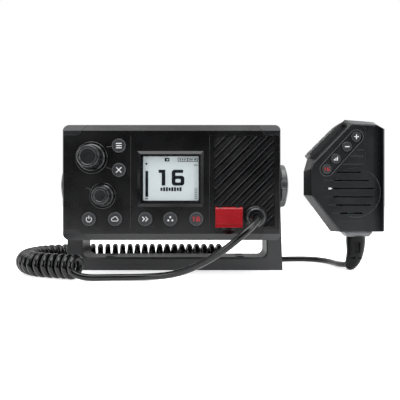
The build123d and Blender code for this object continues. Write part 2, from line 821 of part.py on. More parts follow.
with BuildPart() as mic_coupling:
    with BuildSketch(mic_plane):
        with BuildLine():
            coupling_back = -mic_flange_thickness - seat_gap
            Polyline(
                (mic_barrel_radius - 0.6 + plug_clearance, coupling_back),
                (mic_coupling_radius, coupling_back),
                (mic_coupling_radius, coupling_front + 1.0),
                (mic_coupling_radius - 1.0, coupling_front),
                (mic_plug_radius + plug_clearance, coupling_front),
                (mic_plug_radius + plug_clearance, socket_front - seat_gap),
                (mic_barrel_radius - 0.6 + plug_clearance, socket_front - seat_gap),
                close=True,
            )
        make_face()
    revolve(axis=mic_axis)
    coupling_grip = Plane(origin=(mic_x, panel_y + coupling_back, mic_z), x_dir=(1, 0, 0), z_dir=(0, -1, 0))
    with BuildSketch(coupling_grip):
        with PolarLocations(mic_coupling_radius + 0.25, 18):
            Circle(0.5)
    extrude(amount=mic_coupling_length - 1.6, mode=Mode.SUBTRACT)
finish(mic_coupling.part, "mic_coupling")

with BuildPart() as mic_plug:
    with BuildSketch(front(plug_back)):
        with Locations((mic_x, mic_z)):
            Circle(mic_plug_radius)
    extrude(amount=plug_back - plug_front)
finish(mic_plug.part, "mic_plug")

with BuildPart() as mic_boot:
    with BuildSketch(mic_plane):
        with BuildLine():
            Polyline(
                (0, plug_front),
                (5.3, plug_front),
                (5.3, plug_front - 1.4),
                (4.6, plug_front - 1.6),
                (4.6, plug_front - 2.8),
                (3.9, plug_front - 3.0),
                (3.9, plug_front - 4.2),
                (cord_radius + 0.8, -mic_boot_end),
                (0, -mic_boot_end),
                close=True,
            )
        make_face()
    revolve(axis=mic_axis)
finish(mic_boot.part, "mic_boot")

# ---------------------------------------------------------------- cast chassis with heat-sink fins
flange_depth = 3.0
chassis_back = bezel_depth + chassis_depth
chassis_bottom = bezel_centre_z - chassis_height / 2
chassis_top = bezel_centre_z + chassis_height / 2
boss_face = inner_half - 0.1 - washer_thickness
boss_root = chassis_width / 2 - chassis_wall - 6.0
boss_hole_end = boss_root + 2.0
fin_bottom = chassis_bottom + 29.0
socket_z = chassis_bottom + 14.0
rear_places = {"antenna": -48.0, "gps": -18.0, "network": 14.0, "power": 48.0}
rear_holes = {"antenna": 7.95, "gps": 3.2, "network": 6.0, "power": 6.0}
shelf_z = chassis_bottom + 12.0 + 14.0
rf_post = 2.6

with BuildPart() as chassis:
    with BuildSketch(front(bezel_depth)):
        with Locations((0, bezel_centre_z)):
            Rectangle(flange_width, flange_height)
            for sx, sz in corners:
                with Locations((sx * flange_width / 2, sz * flange_height / 2)):
                    Rectangle(
                        2 * (corner_block_width - bezel_wall / 2),
                        2 * (corner_block_height - bezel_wall / 2),
                        mode=Mode.SUBTRACT,
                    )
    extrude(amount=flange_depth)
    with BuildSketch(front(chassis_back)):
        with Locations((0, bezel_centre_z)):
            RectangleRounded(chassis_width, chassis_height, 4.0)
    extrude(amount=chassis_depth)
    with BuildSketch(front(chassis_back - chassis_wall)):
        with Locations((0, bezel_centre_z)):
            RectangleRounded(chassis_width - 2 * chassis_wall, chassis_height - 2 * chassis_wall, 2.0)
    extrude(amount=chassis_depth + flange_depth, mode=Mode.SUBTRACT)
    # Upright cooling fins across the upper back.
    with BuildSketch(front(chassis_back + fin_depth)):
        with Locations((0, (fin_bottom + chassis_top - 2) / 2)):
            with GridLocations((chassis_width - fin_thickness - 4) / (fin_count - 1), 1, fin_count, 1):
                RectangleRounded(fin_thickness, chassis_top - 2 - fin_bottom, 0.9)
    extrude(amount=fin_depth)
    # Side bosses that carry the gimbal studs, with posts for the radio board.
    for side in (-1, 1):
        with BuildSketch(Plane.YZ.offset(side * boss_root)):
            with Locations((0, pivot_height)):
                Circle(boss_radius)
        extrude(amount=side * (boss_face - boss_root))
        with BuildSketch(Plane.YZ.offset(side * (boss_face + 1))):
            with Locations((0, pivot_height)):
                Circle(stud_radius + thread_clearance)
        extrude(amount=-side * (boss_face + 1 - boss_hole_end), mode=Mode.SUBTRACT)
    with BuildSketch(Plane.XY.offset(chassis_bottom + chassis_wall)):
        with Locations((0, panel_y + bezel_depth + chassis_depth / 2 - 2)):
            with GridLocations(112, 44, 2, 2):
                Circle(rf_post)
    extrude(amount=shelf_z - chassis_bottom - chassis_wall)
    # Holes for the sockets and the power lead's gland.
    with BuildSketch(front(chassis_back + 1)):
        for rear_name, rear_x in rear_places.items():
            with Locations((rear_x, socket_z)):
                Circle(rear_holes[rear_name] + 0.02)
    extrude(amount=chassis_wall + 2, mode=Mode.SUBTRACT)
finish(chassis.part, "chassis")

with BuildPart() as dash_gasket:
    gasket_thickness = 1.5
    with BuildSketch(front(bezel_depth + gasket_thickness)):
        with Locations((0, bezel_centre_z)):
            RectangleRounded(bezel_width - 3, bezel_height - 3, bezel_corner - 1)
            RectangleRounded(
                chassis_width + 2 * clearance, chassis_height + 2 * clearance, 4.0, mode=Mode.SUBTRACT
            )
            with GridLocations(bezel_width - 2 * screw_inset_x, bezel_height - 2 * screw_inset_z, 2, 2):
                Circle(flush_screw_radius + 0.4, mode=Mode.SUBTRACT)
    extrude(amount=gasket_thickness)
finish(dash_gasket.part, "dash_gasket")

# ---------------------------------------------------------------- radio board inside the chassis
radio_board_width = 116.0
radio_board_length = 54.0
with BuildPart() as radio_board:
    with BuildSketch(Plane.XY.offset(shelf_z)):
        with Locations((0, panel_y + bezel_depth + chassis_depth / 2 - 2)):
            RectangleRounded(radio_board_width, radio_board_length, 2)
    extrude(amount=board_thickness)
finish(radio_board.part, "radio_board")

# ---------------------------------------------------------------- sockets and gland on the back
def rear_part(x):
    """A plane through a rear socket's axis; its sketches are (radius, depth)."""
    return axial_plane(x, socket_z)


wall_inside = chassis_back - chassis_wall
socket_flange = 1.6
flange_thickness = 1.6
thread_relief = 0.7
thread_start = 2.3
antenna_thread = 12.0
gps_thread = 7.0
network_thread = 9.0
with BuildPart() as antenna_socket:
    thread_radius = rear_holes["antenna"]
    with BuildSketch(rear_part(rear_places["antenna"])):
        with BuildLine():
            Polyline(
                (0, wall_inside - 4),
                (thread_radius + 2, wall_inside - 4),
                (thread_radius + 2, wall_inside),
                (thread_radius, wall_inside),
                (thread_radius, chassis_back),
                (thread_radius + socket_flange, chassis_back),
                (thread_radius + socket_flange, chassis_back + flange_thickness),
                (thread_radius - thread_relief, chassis_back + flange_thickness),
                (thread_radius - thread_relief, chassis_back + thread_start),
                (thread_radius, chassis_back + thread_start),
                (thread_radius, chassis_back + thread_start + antenna_thread),
                (thread_radius - 1.4, chassis_back + thread_start + antenna_thread),
                (thread_radius - 1.4, chassis_back + thread_start + 1),
                (5.0, chassis_back + thread_start + 1),
                (5.0, chassis_back + thread_start + antenna_thread - 2),
                (2.0, chassis_back + thread_start + antenna_thread - 2),
                (2.0, chassis_back + 1),
                (0, chassis_back + 1),
                close=True,
            )
        make_face()
    revolve(axis=Axis((rear_places["antenna"], panel_y, socket_z), (0, 1, 0)))
finish(antenna_socket.part, "antenna_socket")

with BuildPart() as gps_socket:
    with BuildSketch(rear_part(rear_places["gps"])):
        with BuildLine():
            Polyline(
                (0, wall_inside - 3),
                (5.0, wall_inside - 3),
                (5.0, wall_inside),
                (3.2, wall_inside),
                (3.2, chassis_back),
                (3.2 + socket_flange, chassis_back),
                (3.2 + socket_flange, chassis_back + flange_thickness),
                (3.2 - thread_relief, chassis_back + flange_thickness),
                (3.2 - thread_relief, chassis_back + thread_start),
                (3.2, chassis_back + thread_start),
                (3.2, chassis_back + thread_start + gps_thread),
                (2.3, chassis_back + thread_start + gps_thread),
                (2.3, chassis_back + thread_start),
                (1.6, chassis_back + thread_start),
                (1.6, chassis_back + 1),
                (0.6, chassis_back + 1),
                (0.6, chassis_back + thread_start + gps_thread - 2),
                (0, chassis_back + thread_start + gps_thread - 2),
                close=True,
            )
        make_face()
    revolve(axis=Axis((rear_places["gps"], panel_y, socket_z), (0, 1, 0)))
finish(gps_socket.part, "gps_socket")

with BuildPart() as network_socket:
    with BuildSketch(rear_part(rear_places["network"])):
        with BuildLine():
            Polyline(
                (0, wall_inside - 5),
                (7.5, wall_inside - 5),
                (7.5, wall_inside),
                (6.0, wall_inside),
                (6.0, chassis_back),
                (6.0 + socket_flange, chassis_back),
                (6.0 + socket_flange, chassis_back + flange_thickness),
                (6.0 - thread_relief, chassis_back + flange_thickness),
                (6.0 - thread_relief, chassis_back + thread_start),
                (6.0, chassis_back + thread_start),
                (6.0, chassis_back + thread_start + network_thread),
                (4.6, chassis_back + thread_start + network_thread),
                (4.6, chassis_back + 1),
                (0, chassis_back + 1),
                close=True,
            )
        make_face()
    revolve(axis=Axis((rear_places["network"], panel_y, socket_z), (0, 1, 0)))
    # Five contact pins.
    with BuildSketch(front(chassis_back + 8)):
        with Locations((rear_places["network"], socket_z)):
            with PolarLocations(2.6, 4, start_angle=45):
                Circle(0.5)
            Circle(0.5)
    extrude(amount=8)
finish(network_socket.part, "network_socket")

with BuildPart() as power_gland:
    with BuildSketch(rear_part(rear_places["power"])):
        with BuildLine():
            Polyline(
                (3.2, wall_inside - 3),
                (8.0, wall_inside - 3),
                (8.0, wall_inside),
                (6.0, wall_inside),
                (6.0, chassis_back),
                (8.2, chassis_back),
                (8.2, chassis_back + 3),
                (6.6, chassis_back + 4.5),
                (4.6, chassis_back + 13),
                (3.2, chassis_back + 13),
                close=True,
            )
        make_face()
    revolve(axis=Axis((rear_places["power"], panel_y, socket_z), (0, 1, 0)))
finish(power_gland.part, "power_gland")

# ---------------------------------------------------------------- gimbal washers, studs and knobs
with BuildPart() as gimbal_washers:
    for side in (-1, 1):
        with BuildSketch(Plane.YZ.offset(side * boss_face)):
            with Locations((0, pivot_height)):
                Circle(washer_radius)
                Circle(stud_radius + stud_clearance, mode=Mode.SUBTRACT)
        extrude(amount=side * washer_thickness)
finish(gimbal_washers.part, "gimbal_washers")

knob_inside = bracket_outer_top / 2 + 1.0 + gimbal_knob_gap
stud_end = knob_inside + 6.0
gimbal_axis = Axis((0, 0, pivot_height), (1, 0, 0))
dome_rise = gimbal_knob_face - gimbal_knob_rim
dome_radius = gimbal_knob_radius - 0.8
dome_sphere = (dome_radius**2 + dome_rise**2) / (2 * dome_rise)
dome_half = asin(dome_radius / dome_sphere) / 2
with BuildPart() as gimbal_studs:
    for side in (-1, 1):
        with BuildSketch(Plane.YZ.offset(side * (boss_hole_end + 1.0))):
            with Locations((0, pivot_height)):
                Circle(stud_radius)
        extrude(amount=side * (stud_end - boss_hole_end - 1.0))
finish(gimbal_studs.part, "gimbal_studs")

for side, side_name in ((-1, "left"), (1, "right")):
    with BuildPart() as gimbal_knob:
        profile_plane = Plane(origin=(0, 0, pivot_height), x_dir=(side, 0, 0), z_dir=(0, -side, 0))
        with BuildSketch(profile_plane):
            with BuildLine():
                Polyline(
                    (stud_end + 0.5, 0),
                    (stud_end + 0.5, stud_radius + thread_clearance),
                    (knob_inside, stud_radius + thread_clearance),
                    (knob_inside, gimbal_knob_radius - 1.0),
                    (knob_inside + 1.0, gimbal_knob_radius),
                    (gimbal_knob_rim - 0.8, gimbal_knob_radius),
                    (gimbal_knob_rim, dome_radius),
                )
                # A shallow spherical dome, centred on the knob's axis.
                ThreePointArc(
                    (gimbal_knob_rim, dome_radius),
                    (
                        gimbal_knob_face - dome_sphere + dome_sphere * cos(dome_half),
                        dome_sphere * sin(dome_half),
                    ),
                    (gimbal_knob_face, 0),
                )
                Line((gimbal_knob_face, 0), (stud_end + 0.5, 0))
            make_face()
        revolve(axis=gimbal_axis)
        # Finger scoops round the rim.
        with BuildSketch(Plane.YZ.offset(side * (knob_inside - 1))):
            with Locations((0, pivot_height)):
                scoop_places = gimbal_knob_radius + gimbal_scoop_radius - gimbal_scoop_depth
                with PolarLocations(scoop_places, gimbal_knob_scoops, gimbal_scoop_angle):
                    Circle(gimbal_scoop_radius)
        extrude(amount=side * (gimbal_knob_face - knob_inside + 2), mode=Mode.SUBTRACT)
    finish(gimbal_knob.part, f"gimbal_knob_{side_name}")

# ---------------------------------------------------------------- handset
handset_plate = [
    (132.4, handset_bottom + 0.4),
    (168.8, handset_bottom + 0.4),
    (168.8, 114.9),
    (162.2, 118.3),
    (141.7, 119.5),
    (111.4, 88.2),
    (109.2, 83.4),
    (110.4, 62.3),
]
handset_outline = [
    (129.0, handset_bottom),
    (172.9, handset_bottom),
    (172.9, 118.0),
    (164.4, 123.1),
    (140.8, handset_top),
    (110.4, 94.5),
    (106.9, 82.1),
    (106.9, 62.8),
]
handset_back = [
    (133.0, 37.0),
    (168.0, 37.0),
    (168.0, 114.0),
    (161.5, 118.0),
    (143.5, 119.2),
    (114.6, 90.4),
    (111.6, 81.0),
    (111.6, 65.0),
]
dome_x = 145.2
dome_z = 64.7
dome_zone_radius = 19.6
dome_height = 1.4
slot_height = 1.3
# Each sound slot: height, left end of its shallow part, left and right ends of its open part.
sound_slots = [
    (80.7, 130.0, 130.0, 149.1),
    (74.2, 119.6, 127.5, 155.5),
    (67.8, 119.2, 127.3, 160.0),
    (61.2, 120.8, 127.3, 159.2),
    (54.7, 124.2, 129.5, 157.3),
    (48.2, 127.0, 133.0, 151.0),
]
# Shallow lines beyond the open slots: height, left and right end.
face_lines = [
    (98.6, 146.6, 151.6),
    (93.6, 141.6, 151.6),
    (87.2, 135.4, 151.6),
    (41.6, 133.0, 151.6),
]
line_height = 0.8
line_depth = 0.5
strip_x = 153.2
strip_right = 180.0
strip_drop = 1.2
handset_keys = {
    "handset_key_up": (145.9, 109.1),
    "handset_key_down": (138.5, 101.2),
    "handset_key_power": (129.5, 91.6),
    "handset_key_16": (122.3, 83.2),
}
handset_key_radius = 4.15
handset_key_travel = 0.7
pill_width = 10.6
pill_depth = 0.8
plate_skin = 2.2
handset_board_depth = handset_front_depth + 8.0
lever_front = 27.5
lever_back = 45.0
lever_side_gap = 0.4
lever_line_start = (109.9, 94.6)
lever_length = 39.0
lever_proud = 1.3
lever_low = 0.5
lever_rib_places = (2.7, 9.0, 16.6, 24.3, 31.9)
rib_cut = 0.9
lever_pin_along = 36.3
lever_pin_in = 2.0
lever_pin_radius = 1.0
lever_pin_seat = 1.2
pocket_floor = 8.4
pocket_wall = 1.5
pocket_length = 40.0
pocket_middle = 19.6
switch_along = 12.0
switch_length = 8.0
switch_front = 32.8
switch_width = 6.4
switch_depth = 3.6
switch_button = 1.0
handset_key_top = handset_front_depth - 0.3
key_flange_depth = handset_front_depth + plate_skin + seat_gap
handset_speaker_radius = 14.0
mic_capsule_x = 142.0
side_round = 6.4
hang_x = 142.0
hang_z = 74.0
hang_neck = 5.0
hang_head = 3.0
hang_neck_radius = 4.0
hang_head_radius = 8.0
hang_screw_radius = 1.6
boot_x = 150.4
boot_depth = 37.0
boot_window = (149.4, 20.1)
boot_window_size = (4.4, 8.4)
boot_window_floor = 5.6
boot_notches = [(146.2, 11.4), (152.2, 11.2)]
boot_notch_width = 3.8
boot_notch_height = 1.5
boot_notch_floor = 3.6
boot_ring_width = 0.9
boot_ring_depth = 0.7
collar_width = 22.4
collar_depth = 18.0
collar_height = 4.1
collar_lip = 1.2
collar_taper = 42.0
handset_cord_tip = (146.6, 44.5, 4.0)
handset_cord_way = (142.9 - 146.6, 55.0 - 44.5, 2.9 - 4.0)


def outline_sketch(points, depth):
    """A closed outline of (x, z) points on the plane at a depth."""
    with BuildSketch(front(depth)) as outline:
        with BuildLine():
            Polyline(*points, close=True)
        make_face()
    return outline.sketch


def inset_sketch(points, depth, amount):
    """The same outline drawn inwards by a wall's thickness."""
    with BuildSketch(front(depth)) as outline:
        with BuildLine():
            Polyline(*points, close=True)
        make_face()
        offset(amount=-amount, kind=Kind.INTERSECTION)
    return outline.sketch


# The lever's own frame: X runs up along the slanted side, Y points out of it.
lever_plane = Plane(
    origin=(lever_line_start[0], panel_y + lever_front, lever_line_start[1]),
    x_dir=(1, 0, 1),
    z_dir=(0, 1, 0),
)
key_slant = degrees(atan2(handset_keys["handset_key_up"][1] - handset_keys["handset_key_16"][1],
                          handset_keys["handset_key_up"][0] - handset_keys["handset_key_16"][0]))
pill_centre = (
    (handset_keys["handset_key_up"][0] + handset_keys["handset_key_16"][0]) / 2,
    (handset_keys["handset_key_up"][1] + handset_keys["handset_key_16"][1]) / 2,
)
pill_length = sqrt(
    (handset_keys["handset_key_up"][0] - handset_keys["handset_key_16"][0]) ** 2
    + (handset_keys["handset_key_up"][1] - handset_keys["handset_key_16"][1]) ** 2
) + pill_width

# Pocket for the lever along the slanted side, and the block that leaves its walls standing.
with BuildPart() as lever_pocket:
    with BuildSketch(lever_plane.offset(-lever_side_gap)):
        with Locations((pocket_middle, 0)):
            Rectangle(pocket_length, 2 * pocket_floor)
    extrude(amount=lever_back - lever_front + 2 * lever_side_gap)

with BuildPart() as pocket_block:
    with BuildSketch(lever_plane.offset(-lever_side_gap - pocket_wall)):
        with Locations((pocket_middle, 0)):
            Rectangle(pocket_length + 2 * pocket_wall, 2 * (pocket_floor + pocket_wall))
    extrude(amount=lever_back - lever_front + 2 * (lever_side_gap + pocket_wall))

with BuildPart() as front_cavity:
    loft([
        inset_sketch(handset_outline, handset_split_depth, handset_wall),
        inset_sketch(handset_plate, handset_front_depth + plate_skin, handset_wall),
    ], ruled=True)
    add(pocket_block.part, mode=Mode.SUBTRACT)

with BuildPart() as rear_cavity:
    loft([
        inset_sketch(handset_outline, handset_split_depth, handset_wall),
        inset_sketch(handset_back, handset_rear_depth - handset_wall, handset_wall),
    ], ruled=True)
    add(pocket_block.part, mode=Mode.SUBTRACT)

# The switch under the lever looks through a window in the pocket's floor.
with BuildPart() as switch_window:
    with BuildSketch(lever_plane.offset(switch_front - lever_front - clearance)):
        with Locations((switch_along, pocket_floor + pocket_wall / 2)):
            Rectangle(switch_length + 2 * clearance, 2 * pocket_wall)
    extrude(amount=switch_width + 2 * clearance)

with BuildPart() as pin_hole:
    with BuildSketch(lever_plane.offset(-lever_pin_seat)):
        with Locations((lever_pin_along, lever_pin_in)):
            Circle(lever_pin_radius)
    extrude(amount=lever_back - lever_front + 2 * lever_pin_seat)

with BuildPart() as handset_front:
    loft([
        outline_sketch(handset_outline, handset_split_depth),
        outline_sketch(handset_plate, handset_front_depth),
    ], ruled=True)
    plate_edges = handset_front.faces().sort_by(Axis.Y)[0].edges()
    side_edge = plate_edges.sort_by(Axis.X)[-1]
    fillet(side_edge, side_round)
    fillet(handset_front.faces().sort_by(Axis.Y)[0].edges().filter_by(lambda e: e.center().X < 150), 0.9)
    # Round speaker zone, standing a little proud.
    with BuildSketch(front(handset_front_depth + 1)):
        with Locations((dome_x, dome_z)):
            Circle(dome_zone_radius)
    extrude(amount=dome_height)
    add(front_cavity.part, mode=Mode.SUBTRACT)
    add(lever_pocket.part, mode=Mode.SUBTRACT)
    add(switch_window.part, mode=Mode.SUBTRACT)
    add(pin_hole.part, mode=Mode.SUBTRACT)
    # The strip beside the plate steps back, round the speaker zone.
    with BuildSketch(front(handset_front_depth + strip_drop)):
        with Locations(((strip_x + strip_right) / 2, (handset_bottom + handset_top) / 2)):
            Rectangle(strip_right - strip_x, handset_top - handset_bottom + 2)
        with Locations((dome_x, dome_z)):
            Circle(dome_zone_radius, mode=Mode.SUBTRACT)
    extrude(amount=strip_drop + 0.5, mode=Mode.SUBTRACT)
    # Key recess and key holes.
    with BuildSketch(front(handset_front_depth + pill_depth)):
        with Locations(Location(pill_centre, key_slant)):
            SlotOverall(pill_length, pill_width)
    extrude(amount=pill_depth + 2, mode=Mode.SUBTRACT)
    with BuildSketch(front(handset_front_depth + plate_skin + 2)):
        with Locations(*handset_keys.values()):
            Circle(handset_key_radius + clearance)
    extrude(amount=plate_skin + 4, mode=Mode.SUBTRACT)
    # Sound slots through the speaker zone, and the shallow lines that carry on from them.
    with BuildSketch(front(handset_front_depth + plate_skin + 1)):
        for slot_z, shallow_left, open_left, slot_right in sound_slots:
            with Locations(((open_left + slot_right) / 2, slot_z)):
                SlotOverall(slot_right - open_left, slot_height)
    extrude(amount=plate_skin + 4, mode=Mode.SUBTRACT)
    with BuildSketch(front(handset_front_depth + line_depth)):
        for slot_z, shallow_left, open_left, slot_right in sound_slots:
            with Locations(((shallow_left + slot_right) / 2, slot_z)):
                Rectangle(slot_right - shallow_left, line_height)
        for line_z, line_left, line_right in face_lines:
            with Locations(((line_left + line_right) / 2, line_z)):
                Rectangle(line_right - line_left, line_height)
    extrude(amount=line_depth + 1, mode=Mode.SUBTRACT)
finish(handset_front.part, "handset_front")

with BuildPart() as handset_rear:
    loft([
        outline_sketch(handset_outline, handset_split_depth),
        outline_sketch(handset_back, handset_rear_depth),
    ], ruled=True)
    back_edges = handset_rear.faces().sort_by(Axis.Y)[-1].edges()
    fillet(back_edges, 1.6)
    add(rear_cavity.part, mode=Mode.SUBTRACT)
    add(lever_pocket.part, mode=Mode.SUBTRACT)
    add(switch_window.part, mode=Mode.SUBTRACT)
    add(pin_hole.part, mode=Mode.SUBTRACT)
    with BuildSketch(front(handset_rear_depth)):
        with Locations((hang_x, hang_z)):
            Circle(hang_screw_radius)
    extrude(amount=handset_wall + 1, mode=Mode.SUBTRACT)
finish(handset_rear.part, "handset_rear")

with BuildPart() as hang_stud:
    with BuildSketch(front(handset_rear_depth + hang_neck + hang_head)):
        with Locations((hang_x, hang_z)):
            Circle(hang_head_radius)
    extrude(amount=hang_head)
    with BuildSketch(front(handset_rear_depth + hang_neck)):
        with Locations((hang_x, hang_z)):
            Circle(hang_neck_radius)
    extrude(amount=hang_neck)
    with BuildSketch(front(handset_rear_depth)):
        with Locations((hang_x, hang_z)):
            Circle(hang_screw_radius)
    extrude(amount=handset_wall + 1.5)
finish(hang_stud.part, "hang_stud")

# ---------------------------------------------------------------- push-to-talk lever, pin and switch
with BuildPart() as ptt_lever:
    with BuildSketch(lever_plane):
        with BuildLine():
            rib_line = [(lever_low, 0.4), (lever_low + 0.4, -lever_proud + 0.5)]
            for rib in lever_rib_places:
                rib_line.append((rib - 0.9, -lever_proud))
                rib_line.append((rib, -lever_proud + rib_cut))
                rib_line.append((rib + 0.9, -lever_proud))
            Polyline(
                *rib_line,
                (lever_length - 0.2, -0.3),
                (lever_length - 0.2, 3.2),
                (lever_length - 1.4, 4.4),
                (lever_low + 1.4, 5.8),
                (lever_low, 4.4),
                close=True,
            )
        make_face()
        with Locations((lever_pin_along, lever_pin_in)):
            Circle(lever_pin_radius + shaft_clearance, mode=Mode.SUBTRACT)
    extrude(amount=lever_back - lever_front)
finish(ptt_lever.part, "ptt_lever")

with BuildPart() as ptt_pin:
    with BuildSketch(lever_plane.offset(-lever_pin_seat)):
        with Locations((lever_pin_along, lever_pin_in)):
            Circle(lever_pin_radius)
    extrude(amount=lever_back - lever_front + 2 * lever_pin_seat)
finish(ptt_pin.part, "ptt_pin")

with BuildPart() as ptt_switch:
    with BuildSketch(lever_plane.offset(switch_front - lever_front)):
        with Locations((switch_along, pocket_floor + switch_depth / 2)):
            Rectangle(switch_length, switch_depth)
    extrude(amount=switch_width)
    with BuildSketch(lever_plane.offset(switch_front - lever_front + switch_width / 2 - 1.5)):
        with Locations((switch_along, pocket_floor - switch_button / 2)):
            Rectangle(3.0, switch_button)
    extrude(amount=3.0)
finish(ptt_switch.part, "ptt_switch")

# ---------------------------------------------------------------- handset keys, board and speaker
for key_name, (key_x, key_z) in handset_keys.items():
    with BuildPart() as handset_key:
        with BuildSketch(axial_plane(key_x, key_z)):
            with BuildLine():
                Polyline(
                    (0, handset_key_top),
                    (handset_key_radius - 1.0, handset_key_top),
                )
                ThreePointArc(
                    (handset_key_radius - 1.0, handset_key_top),
                    (handset_key_radius - 0.3, handset_key_top + 0.3),
                    (handset_key_radius, handset_key_top + 1.0),
                )
                Polyline(
                    (handset_key_radius, handset_key_top + 1.0),
                    (handset_key_radius, key_flange_depth),
                    (handset_key_radius + 0.9, key_flange_depth),
                    (handset_key_radius + 0.9, key_flange_depth + 1.0),
                    (handset_key_radius - 1.6, key_flange_depth + 1.0),
                    (handset_key_radius - 1.6, handset_board_depth - handset_key_travel - seat_gap),
                    (0, handset_board_depth - handset_key_travel - seat_gap),
                    (0, handset_key_top),
                )
            make_face()
        revolve(axis=Axis((key_x, panel_y, key_z), (0, 1, 0)))
    finish(handset_key.part, key_name)

with BuildPart() as handset_board:
    with BuildSketch(front(handset_board_depth + board_thickness)):
        with BuildLine():
            Polyline(
                (136.0, 40.0),
                (163.0, 40.0),
                (163.0, 112.0),
                (141.0, 110.0),
                (118.0, 86.0),
                (118.0, 66.0),
                close=True,
            )
        make_face()
    extrude(amount=board_thickness)
    # Microphone capsule behind the lowest sound slot.
    with BuildSketch(front(handset_board_depth)):
        with Locations((mic_capsule_x, sound_slots[-1][0])):
            Circle(2.6)
    extrude(amount=handset_board_depth - handset_front_depth - plate_skin - 1.0)
finish(handset_board.part, "handset_board")

with BuildPart() as handset_speaker:
    with BuildSketch(front(handset_board_depth - seat_gap)):
        with Locations((dome_x, dome_z)):
            Circle(handset_speaker_radius)
    extrude(amount=handset_board_depth - seat_gap - handset_front_depth - plate_skin - seat_gap)
finish(handset_speaker.part, "handset_speaker")

# ---------------------------------------------------------------- collar and boot under the handset
with BuildPart() as handset_collar:
    with BuildSketch(Plane.XY.offset(handset_bottom)):
        with Locations((boot_x, panel_y + boot_depth)):
            RectangleRounded(collar_width, collar_depth, 3.0)
    extrude(amount=-collar_lip)
    with BuildSketch(Plane.XY.offset(handset_bottom - collar_lip)):
        with Locations((boot_x, panel_y + boot_depth)):
            RectangleRounded(collar_width, collar_depth, 3.0)
    extrude(amount=-(collar_height - collar_lip), taper=collar_taper)
finish(handset_collar.part, "handset_collar")

def boot_side(way):
    """A direction square to the boot's way, kept close to X so the sections don't twist."""
    x, y, z = way
    return (y * y + z * z, -x * y, -x * z)


boot_top = handset_bottom - collar_height
boot_sections = [
    ((boot_x, boot_depth, boot_top), (0, 0, -1), 7.7),
    ((boot_x - 0.3, boot_depth + 0.1, 19.5), (-0.06, 0.08, -1), 7.3),
    ((boot_x - 1.4, boot_depth + 0.7, 11.6), (-0.2, 0.35, -0.9), 6.3),
    ((boot_x - 3.0, boot_depth + 2.9, 6.2), (-0.25, 0.8, -0.55), 5.2),
    (handset_cord_tip, handset_cord_way, 3.5),
]


def boot_plane(section):
    """The plane of one of the boot's sections, facing the way the cord leaves."""
    place, way = section[:2]
    return Plane(origin=(place[0], panel_y + place[1], place[2]), x_dir=boot_side(way), z_dir=way)


with BuildPart() as handset_boot:
    for section in boot_sections:
        with BuildSketch(boot_plane(section)):
            Circle(section[2])
    loft()
    # A window and two notches in the front, which let the boot bend.
    with BuildSketch(front(boot_depth - boot_window_floor)):
        with Locations(boot_window):
            RectangleRounded(*boot_window_size, 0.9)
    extrude(amount=boot_window_floor, mode=Mode.SUBTRACT)
    with BuildSketch(front(boot_depth - boot_notch_floor)):
        with Locations(*boot_notches):
            SlotOverall(boot_notch_width, boot_notch_height)
    extrude(amount=boot_notch_floor, mode=Mode.SUBTRACT)
    # The groove above the tip.
    ring_section = boot_sections[3]
    with BuildSketch(boot_plane(ring_section)):
        Circle(ring_section[2] + 3.0)
        Circle(ring_section[2] - boot_ring_depth, mode=Mode.SUBTRACT)
    extrude(amount=boot_ring_width, mode=Mode.SUBTRACT)
finish(handset_boot.part, "handset_boot")

# ---------------------------------------------------------------- cord: front lead, coil, rear lead
front_lead_route = [
    (mic_x, -mic_boot_end, mic_z),
    (mic_x, -24.0, mic_z),
    (58.2, -33.3, 42.2),
    (50.6, -38.1, 35.8),
    (37.6, -36.4, 24.9),
    (21.0, -28.0, 13.5),
    (2.0, -17.0, 5.5),
    (-22.0, -9.0, 2.5),
    (-44.0, -5.0, 2.5),
    (-60.0, 0.0, 2.5),
    (coil_front_end, 0.0, 2.5),
]
rear_lead_route = [
    (coil_rear_end, coil_rear_depth, 2.5),
    (57.0, coil_rear_depth, 2.5),
    (75.0, 86.6, 2.5),
    (96.0, 93.6, 2.5),
    (119.0, 97.6, 2.5),
    (131.6, 91.6, 2.5),
    (139.2, 79.8, 2.5),
    (141.8, 65.5, 2.5),
    (142.9, 55.0, 2.9),
    handset_cord_tip,
]


def cord_tube(route, label):
    """A round cord along straight runs joined by tangent arcs."""
    points = [Vector(x, panel_y + depth, z) for x, depth, z in route]
    radii = []
    for before, here, after in zip(points, points[1:], points[2:]):
        turn = radians((here - before).get_angle(after - here))
        shorter = min((here - before).length, (after - here).length)
        radii.append(round(0.45 * shorter / tan(turn / 2), 1))
    print(label, "bend radii", radii)
    with BuildPart() as tube:
        with BuildLine() as line:
            FilletPolyline(*points, radius=radii)
        path = line.wires()[0]
        with BuildSketch(Plane(origin=points[0], z_dir=points[1] - points[0])):
            Circle(cord_radius)
        sweep(path=path)
    print(label, "length", round(path.length, 1), "from volume",
          round(tube.part.volume / (pi * cord_radius ** 2), 1))
    finish(tube.part, label)


cord_tube(front_lead_route, "cord_front_lead")
cord_tube(rear_lead_route, "cord_rear_lead")

with BuildPart() as cord_coil_bend:
    with BuildLine() as bend_line:
        Line((coil_front_end, panel_y, coil_radius), (coil_bend_x, panel_y, coil_radius))
        ThreePointArc(
            (coil_bend_x, panel_y, coil_radius),
            (coil_bend_x - coil_bend_radius, panel_y + coil_bend_radius, coil_radius),
            (coil_bend_x, panel_y + 2 * coil_bend_radius, coil_radius),
        )
    with BuildSketch(Plane(origin=(coil_front_end, panel_y, coil_radius), z_dir=(-1, 0, 0))):
        Circle(coil_radius)
    sweep(path=bend_line.line)
finish(cord_coil_bend.part, "cord_coil_bend")

with BuildPart() as cord_coil_rear:
    with BuildSketch(Plane(origin=(coil_bend_x, panel_y + coil_rear_depth, coil_radius), z_dir=(1, 0, 0))):
        Circle(coil_radius)
    extrude(amount=coil_rear_end - coil_bend_x)
finish(cord_coil_rear.part, "cord_coil_rear")
